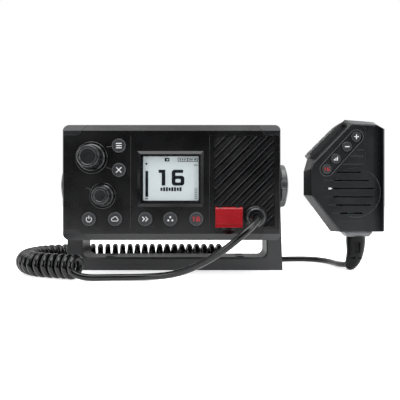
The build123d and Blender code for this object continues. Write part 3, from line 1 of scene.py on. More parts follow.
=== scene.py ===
import json
from math import cos, pi, radians, sin

import bmesh
import bpy
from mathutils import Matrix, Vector
from mathutils.geometry import tessellate_polygon


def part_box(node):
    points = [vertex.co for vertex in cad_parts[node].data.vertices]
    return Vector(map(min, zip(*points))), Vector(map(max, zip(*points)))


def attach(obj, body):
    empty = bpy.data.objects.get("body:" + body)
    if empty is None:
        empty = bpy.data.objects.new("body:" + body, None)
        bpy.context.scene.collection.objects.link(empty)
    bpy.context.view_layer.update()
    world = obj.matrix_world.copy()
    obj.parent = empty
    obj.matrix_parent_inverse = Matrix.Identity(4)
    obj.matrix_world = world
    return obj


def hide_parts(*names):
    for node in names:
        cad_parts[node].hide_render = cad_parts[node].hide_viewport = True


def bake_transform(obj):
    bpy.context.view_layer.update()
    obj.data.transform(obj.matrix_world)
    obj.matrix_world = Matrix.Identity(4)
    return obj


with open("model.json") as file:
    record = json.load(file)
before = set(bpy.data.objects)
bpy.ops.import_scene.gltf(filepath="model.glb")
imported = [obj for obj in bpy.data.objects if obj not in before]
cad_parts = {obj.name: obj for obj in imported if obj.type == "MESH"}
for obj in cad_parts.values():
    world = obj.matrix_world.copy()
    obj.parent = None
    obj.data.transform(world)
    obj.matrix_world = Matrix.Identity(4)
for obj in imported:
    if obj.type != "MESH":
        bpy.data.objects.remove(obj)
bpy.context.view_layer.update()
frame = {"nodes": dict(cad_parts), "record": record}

MM = 0.001
PANEL_Y = -55.5


def mm(x, depth, z):
    """A point given by x, its depth behind the front panel, and z, in millimetres."""
    return Vector((x * MM, (PANEL_Y + depth) * MM, z * MM))


# ---------------------------------------------------------------- mesh helpers
def link(obj):
    bpy.context.collection.objects.link(obj)
    return obj


def dress(obj, material):
    """Give a mesh object one material in place of what it has."""
    obj.data.materials.clear()
    obj.data.materials.append(material)


def nurbs(name, points, resolution, bevel=0.0):
    curve = bpy.data.curves.new(name, "CURVE")
    curve.dimensions = "3D"
    spline = curve.splines.new("NURBS")
    spline.points.add(len(points) - 1)
    for control, point in zip(spline.points, points):
        control.co = (*point, 1.0)
    spline.order_u = 3
    spline.use_endpoint_u = True
    spline.resolution_u = resolution
    curve.bevel_depth = bevel
    curve.bevel_resolution = 4
    curve.use_fill_caps = True
    return bpy.data.objects.new(name, curve)


def as_mesh(curve_obj):
    link(curve_obj)
    bpy.context.view_layer.update()
    graph = bpy.context.evaluated_depsgraph_get()
    mesh = bpy.data.meshes.new_from_object(curve_obj.evaluated_get(graph))
    bpy.data.objects.remove(curve_obj)
    return mesh


def spline_points(points, resolution):
    mesh = as_mesh(nurbs("path", points, resolution))
    line = [v.co.copy() for v in mesh.vertices]
    bpy.data.meshes.remove(mesh)
    return line


# ---------------------------------------------------------------- camera
CAMERA_LENS = 42.03
CAMERA_SPOT = (21.3, -350.0, 58.7)

camera_data = bpy.data.cameras.new("camera")
camera_data.sensor_width = 36.0
camera_data.lens = CAMERA_LENS
camera_data.clip_start = 0.01
camera = link(bpy.data.objects.new("camera", camera_data))
camera.location = mm(*CAMERA_SPOT)
camera.rotation_euler = (radians(90), 0, 0)
bpy.context.scene.camera = camera
bpy.context.scene.view_settings.view_transform = "Standard"


# ---------------------------------------------------------------- flat marks
# All outlines are loops of (x, z) in millimetres, as seen from the front.
CORNER_STEPS = 5
SHARPEST_MITRE = 0.35


def arc(cx, cz, radius, start, end, steps):
    turn = [start + (end - start) * i / steps for i in range(steps + 1)]
    return [(cx + radius * cos(radians(a)), cz + radius * sin(radians(a))) for a in turn]


def disc(x, z, radius, steps=14):
    return arc(x, z, radius, 0, 360 - 360 / steps, steps - 1)


def box_loop(cx, cz, width, height, corner=0.0):
    """A rectangle's outline, anticlockwise, with rounded corners if asked."""
    a, b = width / 2, height / 2
    if corner <= 0:
        return [(cx - a, cz - b), (cx + a, cz - b), (cx + a, cz + b), (cx - a, cz + b)]
    loop = []
    for sx, sz, start in ((1, -1, -90), (1, 1, 0), (-1, 1, 90), (-1, -1, 180)):
        middle = (cx + sx * (a - corner), cz + sz * (b - corner))
        loop += arc(*middle, corner, start, start + 90, CORNER_STEPS)
    return loop


def cross(reach, stroke):
    a, b = reach, stroke / 2
    return [(a, -b), (a, b), (b, b), (b, a), (-b, a), (-b, b), (-a, b), (-a, -b),
            (-b, -b), (-b, -a), (b, -a), (b, -b)]


def ribbon(points, width, closed=False):
    """The loops of a line of constant width: one, or an outer and an inner one if it closes."""
    count = len(points)
    left, right = [], []
    for i, (x, z) in enumerate(points):
        before = points[i - 1] if i or closed else None
        after = points[(i + 1) % count] if i < count - 1 or closed else None
        ways = []
        for a, b in ((before, (x, z)), ((x, z), after)):
            if a is not None and b is not None:
                way = Vector((b[0] - a[0], b[1] - a[1])).normalized()
                ways.append(Vector((-way.y, way.x)))
        normal = sum(ways, Vector((0, 0))).normalized()
        reach = width / 2 / max(SHARPEST_MITRE, normal.dot(ways[0]))
        left.append((x + normal.x * reach, z + normal.y * reach))
        right.append((x - normal.x * reach, z - normal.y * reach))
    if closed:
        return [left, right]
    return [left + right[::-1]]


def digits_16(height, stroke):
    """The number 16 in squared strokes, centred on the origin."""
    low, top = -height / 2, height / 2
    bar = top - stroke * 0.85
    left, right = -height * 0.5 - stroke / 2, -height * 0.5 + stroke / 2
    flag = left - height * 0.2
    one = [(left, low), (right, low), (right, top), (flag, top), (flag, bar), (left, bar)]

    width, bowl = height * 0.8, height * 0.62
    centre = (height * 0.42, low + bowl / 2)
    outer = box_loop(*centre, width, bowl, stroke * 0.8)
    inner = box_loop(*centre, width - 2 * stroke, bowl - 2 * (top - bar), stroke * 0.3)

    side = centre[0] - width / 2
    tip = side + width * 0.9
    joint = low + height * 0.52
    corner = stroke * 0.8
    hook = [(side + stroke, joint), (side + stroke, bar), (tip, bar), (tip, top)]
    hook += arc(side + corner, top - corner, corner, 90, 180, CORNER_STEPS) + [(side, joint)]
    return [[one], [outer, inner[::-1]], [hook]]


def marks(name, shapes, depth, thick, body, material, centre=(0.0, 0.0), turn=0.0):
    """Thin raised marks: each shape is an outline followed by its holes."""
    verts, faces = [], []
    c, s = cos(radians(turn)), sin(radians(turn))
    for loops in shapes:
        flat = [point for loop in loops for point in loop]
        front = len(verts)
        back = front + len(flat)
        for level in (depth - thick, depth):
            for x, z in flat:
                verts.append(mm(centre[0] + c * x - s * z, level, centre[1] + s * x + c * z))
        outlines = [[Vector((x, z, 0)) for x, z in loop] for loop in loops]
        for tri in tessellate_polygon(outlines):
            faces.append([front + i for i in tri])
            faces.append([back + i for i in reversed(tri)])
        start = 0
        for loop in loops:
            for i in range(len(loop)):
                a, b = start + i, start + (i + 1) % len(loop)
                faces.append([front + a, front + b, back + b, back + a])
            start += len(loop)
    mesh = bpy.data.meshes.new(name)
    mesh.from_pydata(verts, [], faces)
    outward = bmesh.new()
    outward.from_mesh(mesh)
    bmesh.ops.recalc_face_normals(outward, faces=outward.faces)
    outward.to_mesh(mesh)
    outward.free()
    obj = link(bpy.data.objects.new(name, mesh))
    dress(obj, material)
    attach(obj, body)
    return obj


def panel_mark(name, shapes, look, depth=0.0, thick=0.03):
    return marks(name, shapes, depth, thick, "radio", look)


HANDSET_FACE = 22.0


def handset_mark(name, shapes, look, depth=HANDSET_FACE, thick=0.05,
                 centre=(0.0, 0.0), turn=0.0):
    return marks(name, shapes, depth, thick, "bracket_and_handset", look, centre, turn)


# ---------------------------------------------------------------- cord
CORD_RADIUS = 2.45
HELIX_RADIUS = 6.85
HELIX_SHRINK = 0.966  # the drawn curve runs this much inside its control points
TURN_POINTS = 12
COIL_Z = 9.3
FRONT_PITCH = 6.3
BEND_PITCH = 6.15
REAR_PITCH = 6.78
FRONT_WAY_X = -0.85  # the axis counts as the front stretch while it runs this far to the left
REAR_WAY_X = 0.999
REAR_FROM_X = -80.0
AXIS_SLICES = 2000
START_ANGLE, END_ANGLE = radians(-155), radians(-90)

front_lead = [
    (62.6, -13.0, 45.95), (62.6, -24.0, 45.95), (58.2, -33.3, 42.2), (50.6, -38.1, 35.8),
    (37.6, -36.4, 24.9), (21.0, -28.0, 13.5), (2.0, -17.0, 5.0), (-22.0, -10.0, 2.5),
    (-44.0, -10.6, 2.5), (-57.0, -13.2, 2.6), (-64.0, -14.4, 3.6),
]
rear_lead = [
    (45.0, 87.0, 2.6), (57.0, 85.0, 2.5), (75.0, 87.0, 2.5), (96.0, 93.6, 2.5),
    (119.0, 97.6, 2.5), (131.6, 91.6, 2.5), (139.2, 79.8, 2.5), (141.8, 65.5, 2.5),
    (142.9, 55.0, 2.9), (146.6, 44.5, 4.0),
]
# The coil's axis from its front end, round the bend and along the back, as (x, depth).
coil_axis = [
    (-68.5, -7.6), (-76.0, -3.6), (-87.0, 0.6), (-97.5, 4.2), (-105.5, 9.5), (-113.5, 18.5),
    (-119.2, 30.0), (-121.6, 43.0), (-120.2, 56.0), (-113.5, 69.0), (-101.0, 78.5),
    (-84.0, 82.0), (-62.0, 82.0), (-40.0, 82.0), (0.0, 82.0), (42.0, 82.0),
]


def helix_along(line, start_angle, end_angle):
    """Control points wound round a line, with a pitch that follows the coil's stretches."""
    steps = [0.0]
    for a, b in zip(line, line[1:]):
        steps.append(steps[-1] + (b - a).length)
    total = steps[-1]

    def at(distance):
        for i in range(len(steps) - 1):
            if distance <= steps[i + 1] or i == len(steps) - 2:
                t = (distance - steps[i]) / (steps[i + 1] - steps[i])
                return line[i].lerp(line[i + 1], t), (line[i + 1] - line[i]).normalized()

    def pitch(distance):
        place, way = at(distance)
        if way.x < FRONT_WAY_X:
            return FRONT_PITCH
        if way.x > REAR_WAY_X and place.x > REAR_FROM_X * MM:
            return REAR_PITCH
        return BEND_PITCH

    # Turns counted along the line, then scaled to end at the chosen angle.
    turns = [0.0]
    for i in range(AXIS_SLICES):
        here = pitch(total * (i + 0.5) / AXIS_SLICES) * MM
        turns.append(turns[-1] + total / AXIS_SLICES / here)
    whole = round(turns[-1]) + (start_angle - end_angle) / (2 * pi)
    scale = whole / turns[-1]
    count = round(whole * TURN_POINTS)
    radius = HELIX_RADIUS / HELIX_SHRINK * MM
    up = Vector((0, 0, 1))
    points = []
    k = 0
    for n in range(count + 1):
        want = whole * n / count
        while k < AXIS_SLICES and turns[k + 1] * scale < want:
            k += 1
        place, way = at(total * min(k, AXIS_SLICES) / AXIS_SLICES)
        side = way.cross(up)
        angle = start_angle - 2 * pi * want
        points.append(place + side * (radius * cos(angle)) + up * (radius * sin(angle)))
    return points


axis_line = spline_points([mm(x, depth, COIL_Z) for x, depth in coil_axis], 16)
helix = helix_along(axis_line, START_ANGLE, END_ANGLE)
cord_points = [mm(*p) for p in front_lead] + helix + [mm(*p) for p in rear_lead]
cord_line = spline_points(cord_points, 4)
cord_mesh = as_mesh(nurbs("cord", cord_points, 4, CORD_RADIUS * MM))


# ---------------------------------------------------------------- materials
MOTTLE_SCALE = 45.0
GRAIN_STRENGTH = 0.35
COAT_ROUGHNESS = 0.08
SHADED_SIDE_KEEPS = 0.35  # what is left of colour and roughness on the side darkened by painted shade
CELL_SCALE = 3200.0
WINDOW_ALPHA = 0.03


class Nodes:
    """A material's node tree, with short calls for what the materials share."""

    def __init__(self, name):
        self.material = bpy.data.materials.new(name)
        self.material.use_nodes = True
        self.tree = self.material.node_tree
        self.tree.nodes.clear()
        self.out = self.node("ShaderNodeOutputMaterial")
        self.shader = self.node("ShaderNodeBsdfPrincipled")
        self.coords = self.node("ShaderNodeTexCoord")
        self.join(self.shader, 0, self.out, 0)

    def node(self, kind, **settings):
        made = self.tree.nodes.new(kind)
        for key, value in settings.items():
            if key in made.inputs:
                made.inputs[key].default_value = value
            else:
                setattr(made, key, value)
        return made

    def join(self, a, out, b, inp):
        self.tree.links.new(a.outputs[out], b.inputs[inp])

    def set(self, **values):
        for key, value in values.items():
            self.shader.inputs[key.replace("_", " ")].default_value = value

    def noise(self, scale, detail, rough=0.55):
        made = self.node("ShaderNodeTexNoise", Scale=scale, Detail=detail, Roughness=rough)
        self.join(self.coords, "Object", made, "Vector")
        return made

    def ramp(self, source, stops):
        made = self.node("ShaderNodeValToRGB")
        for element, (place, colour) in zip(made.color_ramp.elements, stops):
            element.position = place
            element.color = (*colour, 1.0)
        self.join(source, 0, made, 0)
        return made

    def span(self, source, low, high, first=0.0, last=1.0, out=0):
        made = self.node("ShaderNodeMapRange")
        for key, value in (("From Min", first), ("From Max", last), ("To Min", low), ("To Max", high)):
            made.inputs[key].default_value = value
        self.join(source, out, made, 0)
        return made

    def bump(self, source, strength, distance, below=None):
        made = self.node("ShaderNodeBump", Strength=strength, Distance=distance)
        self.join(source, 0, made, "Height")
        if below is not None:
            self.join(below, 0, made, "Normal")
        return made


def shade(colour, amount):
    return tuple(min(1.0, c * amount) for c in colour)


def moulded(name, colour, rough=0.45, grain=2600.0, grain_depth=0.00003, mottle=0.12, spread=0.07,
            specular=0.5, coat=0.0, metallic=0.0, edge=0.0, side=None):
    """Plastic, rubber, paint or metal: mottled colour, uneven gloss, fine grain, softened edges.

    The edge is the rounding's radius in millimetres. A side gives two x values between which
    the surface turns darker and smoother: painted shade where it rounds away from the light.
    """
    m = Nodes(name)
    wide = m.noise(MOTTLE_SCALE, 4.0)
    fine = m.noise(grain, 2.0, 0.6)
    tint = m.ramp(wide, [(0.3, shade(colour, 1 - mottle)), (0.7, shade(colour, 1 + mottle))])
    gloss = m.span(wide, rough - spread, rough + spread, first=0.25, last=0.75)
    # Painted shade: darker and smoother between the side's two x values, where the surface rounds away from
    # the light.
    if side:
        place = m.node("ShaderNodeSeparateXYZ")
        m.join(m.coords, "Object", place, 0)
        painted_shade_weight = m.span(place, 0.0, 1.0, side[0] * MM, side[1] * MM, "X")
        painted_shade_mix = m.node("ShaderNodeMix", data_type="RGBA")
        m.join(painted_shade_weight, 0, painted_shade_mix, 0)
        m.join(tint, 0, painted_shade_mix, 6)
        painted_shade_mix.inputs[7].default_value = (*shade(colour, SHADED_SIDE_KEEPS), 1.0)
        m.join(painted_shade_mix, 2, m.shader, "Base Color")
        product = m.node("ShaderNodeMath", operation="MULTIPLY")
        m.join(gloss, 0, product, 0)
        m.join(m.span(painted_shade_weight, 1.0, SHADED_SIDE_KEEPS), 0, product, 1)
        m.join(product, 0, m.shader, "Roughness")
    else:
        m.join(tint, 0, m.shader, "Base Color")
        m.join(gloss, 0, m.shader, "Roughness")
    rounded = m.node("ShaderNodeBevel", samples=4, Radius=edge * MM) if edge else None
    m.join(m.bump(fine, GRAIN_STRENGTH, grain_depth, rounded), 0, m.shader, "Normal")
    m.set(Specular_IOR_Level=specular, Metallic=metallic)
    if coat:
        m.set(Coat_Weight=coat, Coat_Roughness=COAT_ROUGHNESS)
    return m.material


def lit(name, colour, glow):
    """A back-lit display face: a faint cell pattern over an even glow."""
    m = Nodes(name)
    cells = m.noise(CELL_SCALE, 1.0, 0.4)
    tint = m.ramp(cells, [(0.3, shade(colour, 0.96)), (0.7, shade(colour, 1.02))])
    m.join(tint, 0, m.shader, "Base Color")
    m.join(tint, 0, m.shader, "Emission Color")
    m.set(Emission_Strength=glow, Roughness=0.35, Specular_IOR_Level=0.3)
    return m.material


def print_and_highlight_look(name, colour, rough=0.45, mottle=0.08):
    """Print, and painted highlights: thin lines where a moulded edge would catch the light."""
    return moulded(name, colour, rough, 1800.0, 0.00001, mottle)


LOOKS = {
    "housing_plastic": moulded("housing plastic", (0.0018, 0.0019, 0.0023), 0.28, edge=0.25),
    "bracket_plastic": moulded("bracket plastic", (0.029, 0.0295, 0.031), 0.5, 1500.0, 0.00006, edge=0.4),
    "chassis_metal": moulded("chassis paint", (0.016, 0.017, 0.019), 0.45, 1800.0, 0.00006, edge=0.3),
    "trim_plastic": moulded("trim plastic", (0.005, 0.0055, 0.0068), 0.34, edge=0.3),
    "black_gloss": moulded("black gloss", (0.004, 0.0043, 0.005), 0.26, 900.0, 0.00001, coat=0.15,
                           edge=0.25),
    "knob_rubber": moulded("knob rubber", (0.009, 0.0095, 0.0105), 0.27, edge=0.35),
    "key_rubber": moulded("key rubber", (0.022, 0.0235, 0.026), 0.42, specular=0.35, edge=0.2),
    "red_cover": moulded("red cover", (0.25, 0.0035, 0.007), 0.26, 900.0, 0.00001, specular=0.35,
                         edge=0.3),
    "steel": moulded("steel", (0.5, 0.5, 0.5), 0.3, 1200.0, 0.00002, metallic=1.0, edge=0.1),
    "nickel": moulded("nickel", (0.6, 0.58, 0.54), 0.2, 900.0, 0.00001, metallic=1.0, edge=0.1),
    "brass": moulded("brass", (0.6, 0.42, 0.16), 0.28, 900.0, 0.00001, metallic=1.0, edge=0.1),
    "seal_rubber": moulded("seal rubber", (0.012, 0.012, 0.013), 0.75, edge=0.2),
    "window_glass": moulded("window", (0.05, 0.055, 0.06), 0.1, 900.0, 0.000002, spread=0.02),
    "display_panel": lit("display", (0.48, 0.53, 0.54), 0.07),
    "board_green": moulded("board", (0.02, 0.12, 0.05), 0.4, edge=0.1),
    "speaker_paper": moulded("speaker paper", (0.01, 0.01, 0.011), 0.85),
    "cord_rubber": moulded("cord rubber", (0.003, 0.0032, 0.0037), 0.2, specular=0.36),
    "handset_plastic": moulded("handset plastic", (0.005, 0.0054, 0.0064), 0.4, 1900.0, 0.00005,
                               specular=0.4, edge=0.4),
    "collar_plastic": moulded("collar plastic", (0.15, 0.154, 0.158), 0.4, edge=0.2),
    "lever_rubber": moulded("lever rubber", (0.009, 0.0095, 0.011), 0.5, edge=0.25),
}
LOOKS["window_glass"].node_tree.nodes["Principled BSDF"].inputs["Alpha"].default_value = WINDOW_ALPHA

# Nodes whose look differs from their slot's.
KNOB_SIDE = moulded("gimbal knob", (0.045, 0.046, 0.049), 0.36, 1500.0, 0.00002, specular=0.8, edge=0.4)
OWN_LOOKS = {
    # The face's right side carries painted shade where it rounds away from the light.
    "handset_front": moulded("handset face with painted shade", (0.005, 0.0054, 0.0064), 0.38, 1900.0, 0.00005,
                             specular=0.4, edge=0.4, side=(158.5, 166.0)),
    "handset_boot": moulded("boot rubber", (0.0022, 0.0024, 0.0028), 0.3, specular=0.16, edge=0.35),
    "lcd_frame": moulded("display frame", (0.003, 0.0033, 0.004), 0.24, 900.0, 0.00001, specular=0.3,
                         edge=0.2),
    "handset_speaker": LOOKS["speaker_paper"],
    "gimbal_knob_left": KNOB_SIDE,
    "gimbal_knob_right": KNOB_SIDE,
}
for entry in frame["record"]["subparts"]:
    node = entry["node"]
    dress(frame["nodes"][node], OWN_LOOKS.get(node) or LOOKS[entry["material_slot"]])

PRINT_WHITE = print_and_highlight_look("white print", (0.58, 0.59, 0.6), mottle=0.05)
PRINT_RED = print_and_highlight_look("red print", (0.34, 0.008, 0.012))
PRINT_GREY = print_and_highlight_look("grey print", (0.09, 0.095, 0.1))
# Painted highlights in three strengths, laid as thin lighter lines along edges, rims and seams.
HIGHLIGHT_BRIGHT = print_and_highlight_look("painted bright highlight", (0.05, 0.051, 0.054), 0.4, mottle=0.1)
HIGHLIGHT_SOFT = print_and_highlight_look("painted soft highlight", (0.07, 0.071, 0.074), mottle=0.1)
HIGHLIGHT_FAINT = print_and_highlight_look("painted faint highlight", (0.013, 0.0132, 0.014), mottle=0.1)
SEGMENTS = moulded("display segments", (0.003, 0.005, 0.007), 0.3, 2400.0, 0.000004, 0.08, specular=0.2)
FAINT = moulded("faint segments", (0.16, 0.19, 0.2), 0.4, 2400.0, 0.000004, 0.08)
LENS = moulded("light lens", (0.55, 0.56, 0.57), 0.25, 900.0, 0.00001, 0.04)

# ---------------------------------------------------------------- display
LCD_X = -0.65
LCD_Z = 74.9
LCD_FACE = 1.4
LCD_LEFT = -18.75
LCD_RIGHT = 18.1
LCD_TOP = 89.0


def display_mark(name, shapes, look, x=0.0, z=0.0, thick=0.12):
    return marks(name, shapes, LCD_FACE, thick, "radio", look, (x, z))


lcd_opening = box_loop(LCD_X, LCD_Z, 41.7, 33.2, 0.7)
display_mark("lcd_border", [[box_loop(LCD_X - 0.05, 74.5, 45.4, 37.4), lcd_opening[::-1]]],
             LOOKS["black_gloss"], thick=0.3)
display_mark("lcd_channel", digits_16(11.9, 2.75), SEGMENTS, -0.2, 75.5)
display_mark("lcd_word", [
    [box_loop((i - 3.5) * 2.05, 0, 1.5, 3.0 if i % 3 else 2.4)] for i in range(8)
], SEGMENTS, -0.55, 66.8)
display_mark("lcd_level", [[box_loop(0, 0, 2.1, 19.6)]], SEGMENTS, LCD_LEFT, 70.8)
display_mark("lcd_level_foot", [[box_loop(0, 0, 2.1, 0.7)]], SEGMENTS, LCD_LEFT, 59.7)
display_mark("lcd_level_arrow", [[[(-1.1, 0.8), (0, -0.9), (1.1, 0.8)]]], SEGMENTS, -18.95, 85.7)
display_mark("lcd_icon", [[box_loop(0, 0, 3.6, 2.7, 0.5), box_loop(0.3, 0, 1.3, 1.1)[::-1]]],
             SEGMENTS, -3.45, LCD_TOP)
display_mark("lcd_boxes", [
    ribbon(box_loop(8.25, 0, 6.9, 2.5), 0.42, True), ribbon(box_loop(15.85, 0, 7.1, 2.5), 0.42, True),
] + [
    [box_loop(x, 0, width, 1.1)]
    for x, width in ((6.5, 1.0), (8.2, 1.0), (9.9, 1.0), (13.9, 0.9), (15.3, 0.9), (17.6, 1.6))
], SEGMENTS, 0.0, LCD_TOP)
display_mark("lcd_dash", [ribbon(arc(0, -2.6, 3.2, 65, 115, 6), 0.55)], SEGMENTS, LCD_RIGHT, 84.4)
display_mark("lcd_scale", [[box_loop(0, i * 1.42, 2.4, 0.62)] for i in range(6)], FAINT, LCD_RIGHT, 59.9)

# ---------------------------------------------------------------- key symbols
PANEL_INK = -0.78
HANDSET_INK = 21.74
INK_THICK = 0.08
KEY_RIM = -1.0


def key_part(key, part, shapes, depth, thick, look, turn=0.0):
    """Marks that ride a key, centred on it."""
    low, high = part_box(key)
    centre = ((low.x + high.x) / 2 / MM, (low.z + high.z) / 2 / MM)
    return marks(key + part, shapes, depth, thick, key, look, centre, turn)


def key_symbol(key, shapes, look=PRINT_WHITE, turn=0.0, depth=PANEL_INK):
    return key_part(key, "_symbol", shapes, depth, INK_THICK, look, turn)


key_symbol("key_menu", [[box_loop(0, z, 4.2, 0.72, 0.2)] for z in (-1.65, 0, 1.65)])
key_symbol("key_cancel", [[cross(2.8, 0.62)]], turn=45)
key_symbol("key_power", [
    ribbon(arc(0, -0.2, 2.0, 125, 415, 24), 0.5), [box_loop(0, 1.3, 0.62, 2.4, 0.2)],
])
key_symbol("key_weather", [
    ribbon(arc(-1.5, -0.35, 1.15, 95, 270, 8) + arc(1.45, -0.55, 0.95, -90, 80, 7)
           + arc(0.25, 0.35, 1.45, 25, 150, 8), 0.5, True),
])
key_symbol("key_scan", [ribbon([(x - 0.9, 1.7), (x + 0.7, 0), (x - 0.9, -1.7)], 0.65) for x in (-1.3, 1.1)])
key_symbol("key_watch", [[disc(x, z, 0.75)] for x, z in ((-1.5, -1.0), (1.5, -1.0), (0, 1.35))])
key_symbol("key_16", digits_16(3.5, 0.72), PRINT_RED)

key_symbol("handset_key_up", [[cross(1.9, 0.75)]], depth=HANDSET_INK)
key_symbol("handset_key_down", [[box_loop(0, 0, 3.6, 0.8)]], depth=HANDSET_INK)
key_symbol("handset_key_power", [
    [box_loop((i - 1) * 1.25, h / 2 - 1.5, 0.75, h)] for i, h in enumerate((1.2, 2.1, 3.0))
], depth=HANDSET_INK)
key_symbol("handset_key_16", digits_16(2.7, 0.55), PRINT_RED, depth=HANDSET_INK)

# A painted highlight round each panel key's rim.
for key in ("key_menu", "key_cancel", "key_power", "key_weather", "key_scan", "key_watch", "key_16"):
    rim = ribbon(arc(0, 0, 4.75, 0, 350, 35), 0.3, True)
    key_part(key, "_rim", [rim], KEY_RIM, 0.03, HIGHLIGHT_SOFT)

# ---------------------------------------------------------------- panel print, and painted highlights on grooves and seams
PANEL_MIDDLE_Z = 71.8
CAP_CORNER = ((-81.2, 107.4), (-70.3, 107.4), (-67.3, 111.0))
LEADERS = (
    ((-48.6, 98.3), (-46.6, 98.7), (-44.9, 98.9)),
    ((-49.2, 83.1), (-46.5, 82.4), (-44.5, 80.9)),
    ((-64.4, 67.8), (-62.2, 67.3), (-60.4, 66.1)),
)
panel_mark("leader_lines", [ribbon(line, 0.3) for line in LEADERS], PRINT_GREY)
# Painted highlights along the two panel grooves and the corner caps' seams.
panel_mark("panel_groove_highlights", [[box_loop(x, 71.5, 0.45, 69.0)] for x in (-30.6, 28.5)], HIGHLIGHT_FAINT)
panel_mark("cap_seam_highlights", [
    ribbon([(way * x, PANEL_MIDDLE_Z + up * (z - PANEL_MIDDLE_Z)) for x, z in CAP_CORNER], 0.4)
    for way in (-1, 1) for up in (-1, 1)
], HIGHLIGHT_FAINT)

# ---------------------------------------------------------------- painted highlights along the louvres
GRILLE_LEFT, GRILLE_RIGHT, GRILLE_LOW, GRILLE_HIGH = 32.4, 76.6, 39.3, 106.1
COVER_CUT = (54.3, 54.9)
CONNECTOR = (62.6, 45.95)
CONNECTOR_CLEAR = 9.3
LOUVRE_PITCH = 5.6
LOUVRE_COUNT = 24
SAMPLE = 0.25
SAMPLES_EACH_WAY = 280
FEWEST_SAMPLES = 8


def in_grille(x, z):
    if not (GRILLE_LEFT < x < GRILLE_RIGHT and GRILLE_LOW < z < GRILLE_HIGH):
        return False
    if any(x < cut_x and z < cut_z for cut_x, cut_z in (COVER_CUT, CONNECTOR)):
        return False
    return (x - CONNECTOR[0]) ** 2 + (z - CONNECTOR[1]) ** 2 > CONNECTOR_CLEAR ** 2


def louvre_lines(shift, width):
    """Lines along the louvres, at 45 degrees, cut to the grille's outline."""
    shapes = []
    middle = ((GRILLE_LEFT + GRILLE_RIGHT) / 2, (GRILLE_LOW + GRILLE_HIGH) / 2)
    half_root = 0.5 ** 0.5
    for index in range(LOUVRE_COUNT):
        across = ((index - LOUVRE_COUNT / 2 + 1) * LOUVRE_PITCH + shift) * half_root
        run = []
        for step in range(-SAMPLES_EACH_WAY, SAMPLES_EACH_WAY + 1):
            along = step * SAMPLE * half_root
            spot = (middle[0] + across + along, middle[1] - across + along)
            inside = in_grille(*spot)
            if inside:
                run.append(spot)
            if run and (not inside or step == SAMPLES_EACH_WAY):
                if len(run) > FEWEST_SAMPLES:
                    shapes.append(ribbon([run[0], run[-1]], width))
                run = []
    return shapes


# Painted highlights on the louvres' crests, and fainter painted light on their ramps.
panel_mark("grille_edge_highlights", louvre_lines(-0.35, 0.28), HIGHLIGHT_BRIGHT, depth=-0.28, thick=0.05)
panel_mark("grille_ramp_highlights", louvre_lines(-2.9, 0.25), HIGHLIGHT_FAINT, depth=0.38, thick=0.14)

# ---------------------------------------------------------------- handset lines, painted highlights and painted shade
PILL = (134.1, 96.15)
PILL_TURN = 47.7
# The shallow ends of the slots: height, left end, right end.
SHALLOWS = (
    (98.6, 146.6, 151.6), (93.6, 141.6, 151.6), (87.2, 135.4, 151.6), (41.6, 133.0, 151.6),
    (74.2, 119.6, 127.2), (61.2, 120.8, 127.0), (54.7, 124.2, 129.2), (48.2, 127.0, 132.6),
)
handset_mark("handset_light", [[box_loop(0, 0, 3.0, 1.4, 0.5)]], LENS, depth=22.1, thick=0.3,
             centre=(125.1, 67.8))
# Painted highlight round the key recess.
handset_mark("key_recess_highlight", [ribbon(box_loop(0, 0, 45.9, 10.9, 5.4), 0.4, True)], HIGHLIGHT_SOFT,
             centre=PILL, turn=PILL_TURN)
handset_mark("face_shadows", [
    [box_loop((left + right) / 2, z, right - left, 0.8, 0.3)] for z, left, right in SHALLOWS
], LOOKS["speaker_paper"], depth=22.02, thick=0.04)
# Painted highlights on the speaker dome's rim and the front plate's rim.
handset_mark("speaker_rim_highlight", [ribbon(arc(145.2, 64.7, 19.7, -105, 52, 30), 0.45)], HIGHLIGHT_SOFT)
handset_mark("plate_rim_highlight", [
    ribbon([(161.6, 117.8), (141.9, 118.9), (111.9, 87.9), (109.8, 83.2)], 0.45),
    ribbon([(111.2, 61.9), (132.6, 34.2)], 0.4),
], HIGHLIGHT_SOFT)

# ---------------------------------------------------------------- the cord's one piece
for face in cord_mesh.polygons:
    face.use_smooth = True
cord = link(bpy.data.objects.new("cord", cord_mesh))
dress(cord, LOOKS["cord_rubber"])
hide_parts("cord_front_lead", "cord_coil_bend", "cord_coil_rear", "cord_rear_lead")
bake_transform(cord)


# ---------------------------------------------------------------- stage and light
SHADOW_ZONE = (0.08, 0.26)  # metres from the middle between which the floor turns white
SHADOW_GLOW = 0.6
NEAR_SIDE = (-0.5, -0.14)   # y between which the floor is dim in mirrored rays
MIRRORED_GLOW = 0.05
FLOOR_HALF = 4.0
DIM_SKY = 0.04
SOFT_SKY = (0.95, 0.97, 1.0, 1.0)
WHITE = (1.0, 1.0, 1.0, 1.0)
LAMP_AIM = (0.02, 0.0, 0.06)


def worked(tree, operation, a, b):
    made = tree.nodes.new("ShaderNodeMath")
    made.operation = operation
    tree.links.new(a, made.inputs[0])
    tree.links.new(b, made.inputs[1])
    return made.outputs[0]


def seen_rays(tree, names=("Is Camera Ray", "Is Glossy Ray", "Is Transmission Ray")):
    """1 for the rays that show the backdrop: straight to the camera, mirrored or through glass."""
    path = tree.nodes.new("ShaderNodeLightPath")
    total = path.outputs[names[0]]
    for name in names[1:]:
        total = worked(tree, "MAXIMUM", total, path.outputs[name])
    return total


def eased(tree, source, first, last, low, high):
    made = tree.nodes.new("ShaderNodeMapRange")
    made.interpolation_type = "SMOOTHSTEP"
    for name, value in (("From Min", first), ("From Max", last), ("To Min", low), ("To Max", high)):
        made.inputs[name].default_value = value
    tree.links.new(source, made.inputs[0])
    return made.outputs[0]


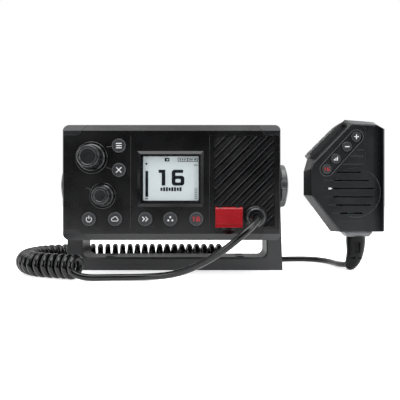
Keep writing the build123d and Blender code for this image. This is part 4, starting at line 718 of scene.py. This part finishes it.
# The floor shows white away from the object, and keeps the object's shadow near it. Its near
# side is dim where the object's front mirrors it.
floor_look = Nodes("floor")
tree = floor_look.tree
floor_look.set(Roughness=0.7, Specular_IOR_Level=0.2, Emission_Color=WHITE)
scaled = floor_look.node("ShaderNodeMapping", Scale=(0.75, 1.0, 1.0))
floor_look.join(floor_look.coords, "Object", scaled, "Vector")
reach = floor_look.node("ShaderNodeVectorMath", operation="LENGTH")
floor_look.join(scaled, 0, reach, 0)
away = eased(tree, reach.outputs["Value"], *SHADOW_ZONE, SHADOW_GLOW, 1.0)
ahead = floor_look.node("ShaderNodeSeparateXYZ")
floor_look.join(floor_look.coords, "Object", ahead, 0)
near_side = eased(tree, ahead.outputs["Y"], *NEAR_SIDE, 1.0, 0.0)
mirrored = worked(tree, "MULTIPLY", near_side, seen_rays(tree, ("Is Glossy Ray",)))
kept = eased(tree, mirrored, 0.0, 1.0, 1.0, MIRRORED_GLOW)
glow = worked(tree, "MULTIPLY", away, seen_rays(tree))
tree.links.new(worked(tree, "MULTIPLY", glow, kept), floor_look.shader.inputs["Emission Strength"])
paint = floor_look.ramp(kept.node, [(0.0, (0.04, 0.04, 0.04)), (1.0, (0.9, 0.9, 0.9))])
floor_look.join(paint, 0, floor_look.shader, "Base Color")
floor_mesh = bpy.data.meshes.new("floor")
floor_mesh.from_pydata(
    [(x * FLOOR_HALF, y * FLOOR_HALF, 0) for x, y in ((-1, -1), (1, -1), (1, 1), (-1, 1))],
    [], [(0, 1, 2, 3)])
floor = link(bpy.data.objects.new("floor", floor_mesh))
dress(floor, floor_look.material)

# The backdrop is white, and the side the camera looks from is dim where glossy rays see it.
world = bpy.data.worlds.new("world")
bpy.context.scene.world = world
world.use_nodes = True
tree = world.node_tree
tree.nodes.clear()
world_out = tree.nodes.new("ShaderNodeOutputWorld")
mix = tree.nodes.new("ShaderNodeMixShader")
soft = tree.nodes.new("ShaderNodeBackground")
soft.inputs["Color"].default_value = SOFT_SKY
soft.inputs["Strength"].default_value = 0.5
white = tree.nodes.new("ShaderNodeBackground")
white.inputs["Color"].default_value = WHITE
facing = tree.nodes.new("ShaderNodeTexCoord")
axes = tree.nodes.new("ShaderNodeSeparateXYZ")
tree.links.new(facing.outputs["Generated"], axes.inputs[0])
front_dim = eased(tree, axes.outputs["Y"], -0.8, 0.0, DIM_SKY, 1.0)
straight = seen_rays(tree, ("Is Camera Ray", "Is Transmission Ray"))
tree.links.new(worked(tree, "MAXIMUM", straight, front_dim), white.inputs["Strength"])
tree.links.new(seen_rays(tree), mix.inputs[0])
tree.links.new(soft.outputs[0], mix.inputs[1])
tree.links.new(white.outputs[0], mix.inputs[2])
tree.links.new(mix.outputs[0], world_out.inputs[0])


def lamp(name, place, size, power):
    data = bpy.data.lights.new(name, "AREA")
    data.shape = "RECTANGLE"
    data.size, data.size_y = size
    data.energy = power
    obj = link(bpy.data.objects.new(name, data))
    obj.location = place
    obj.rotation_euler = (Vector(LAMP_AIM) - Vector(place)).to_track_quat("-Z", "Y").to_euler()


lamp("top lamp", (0.0, -0.3, 1.1), (1.2, 0.8), 14.0)
lamp("left lamp", (-0.9, -0.8, 0.55), (0.6, 0.6), 6.0)
lamp("right lamp", (1.0, -0.7, 0.5), (0.6, 0.6), 5.0)
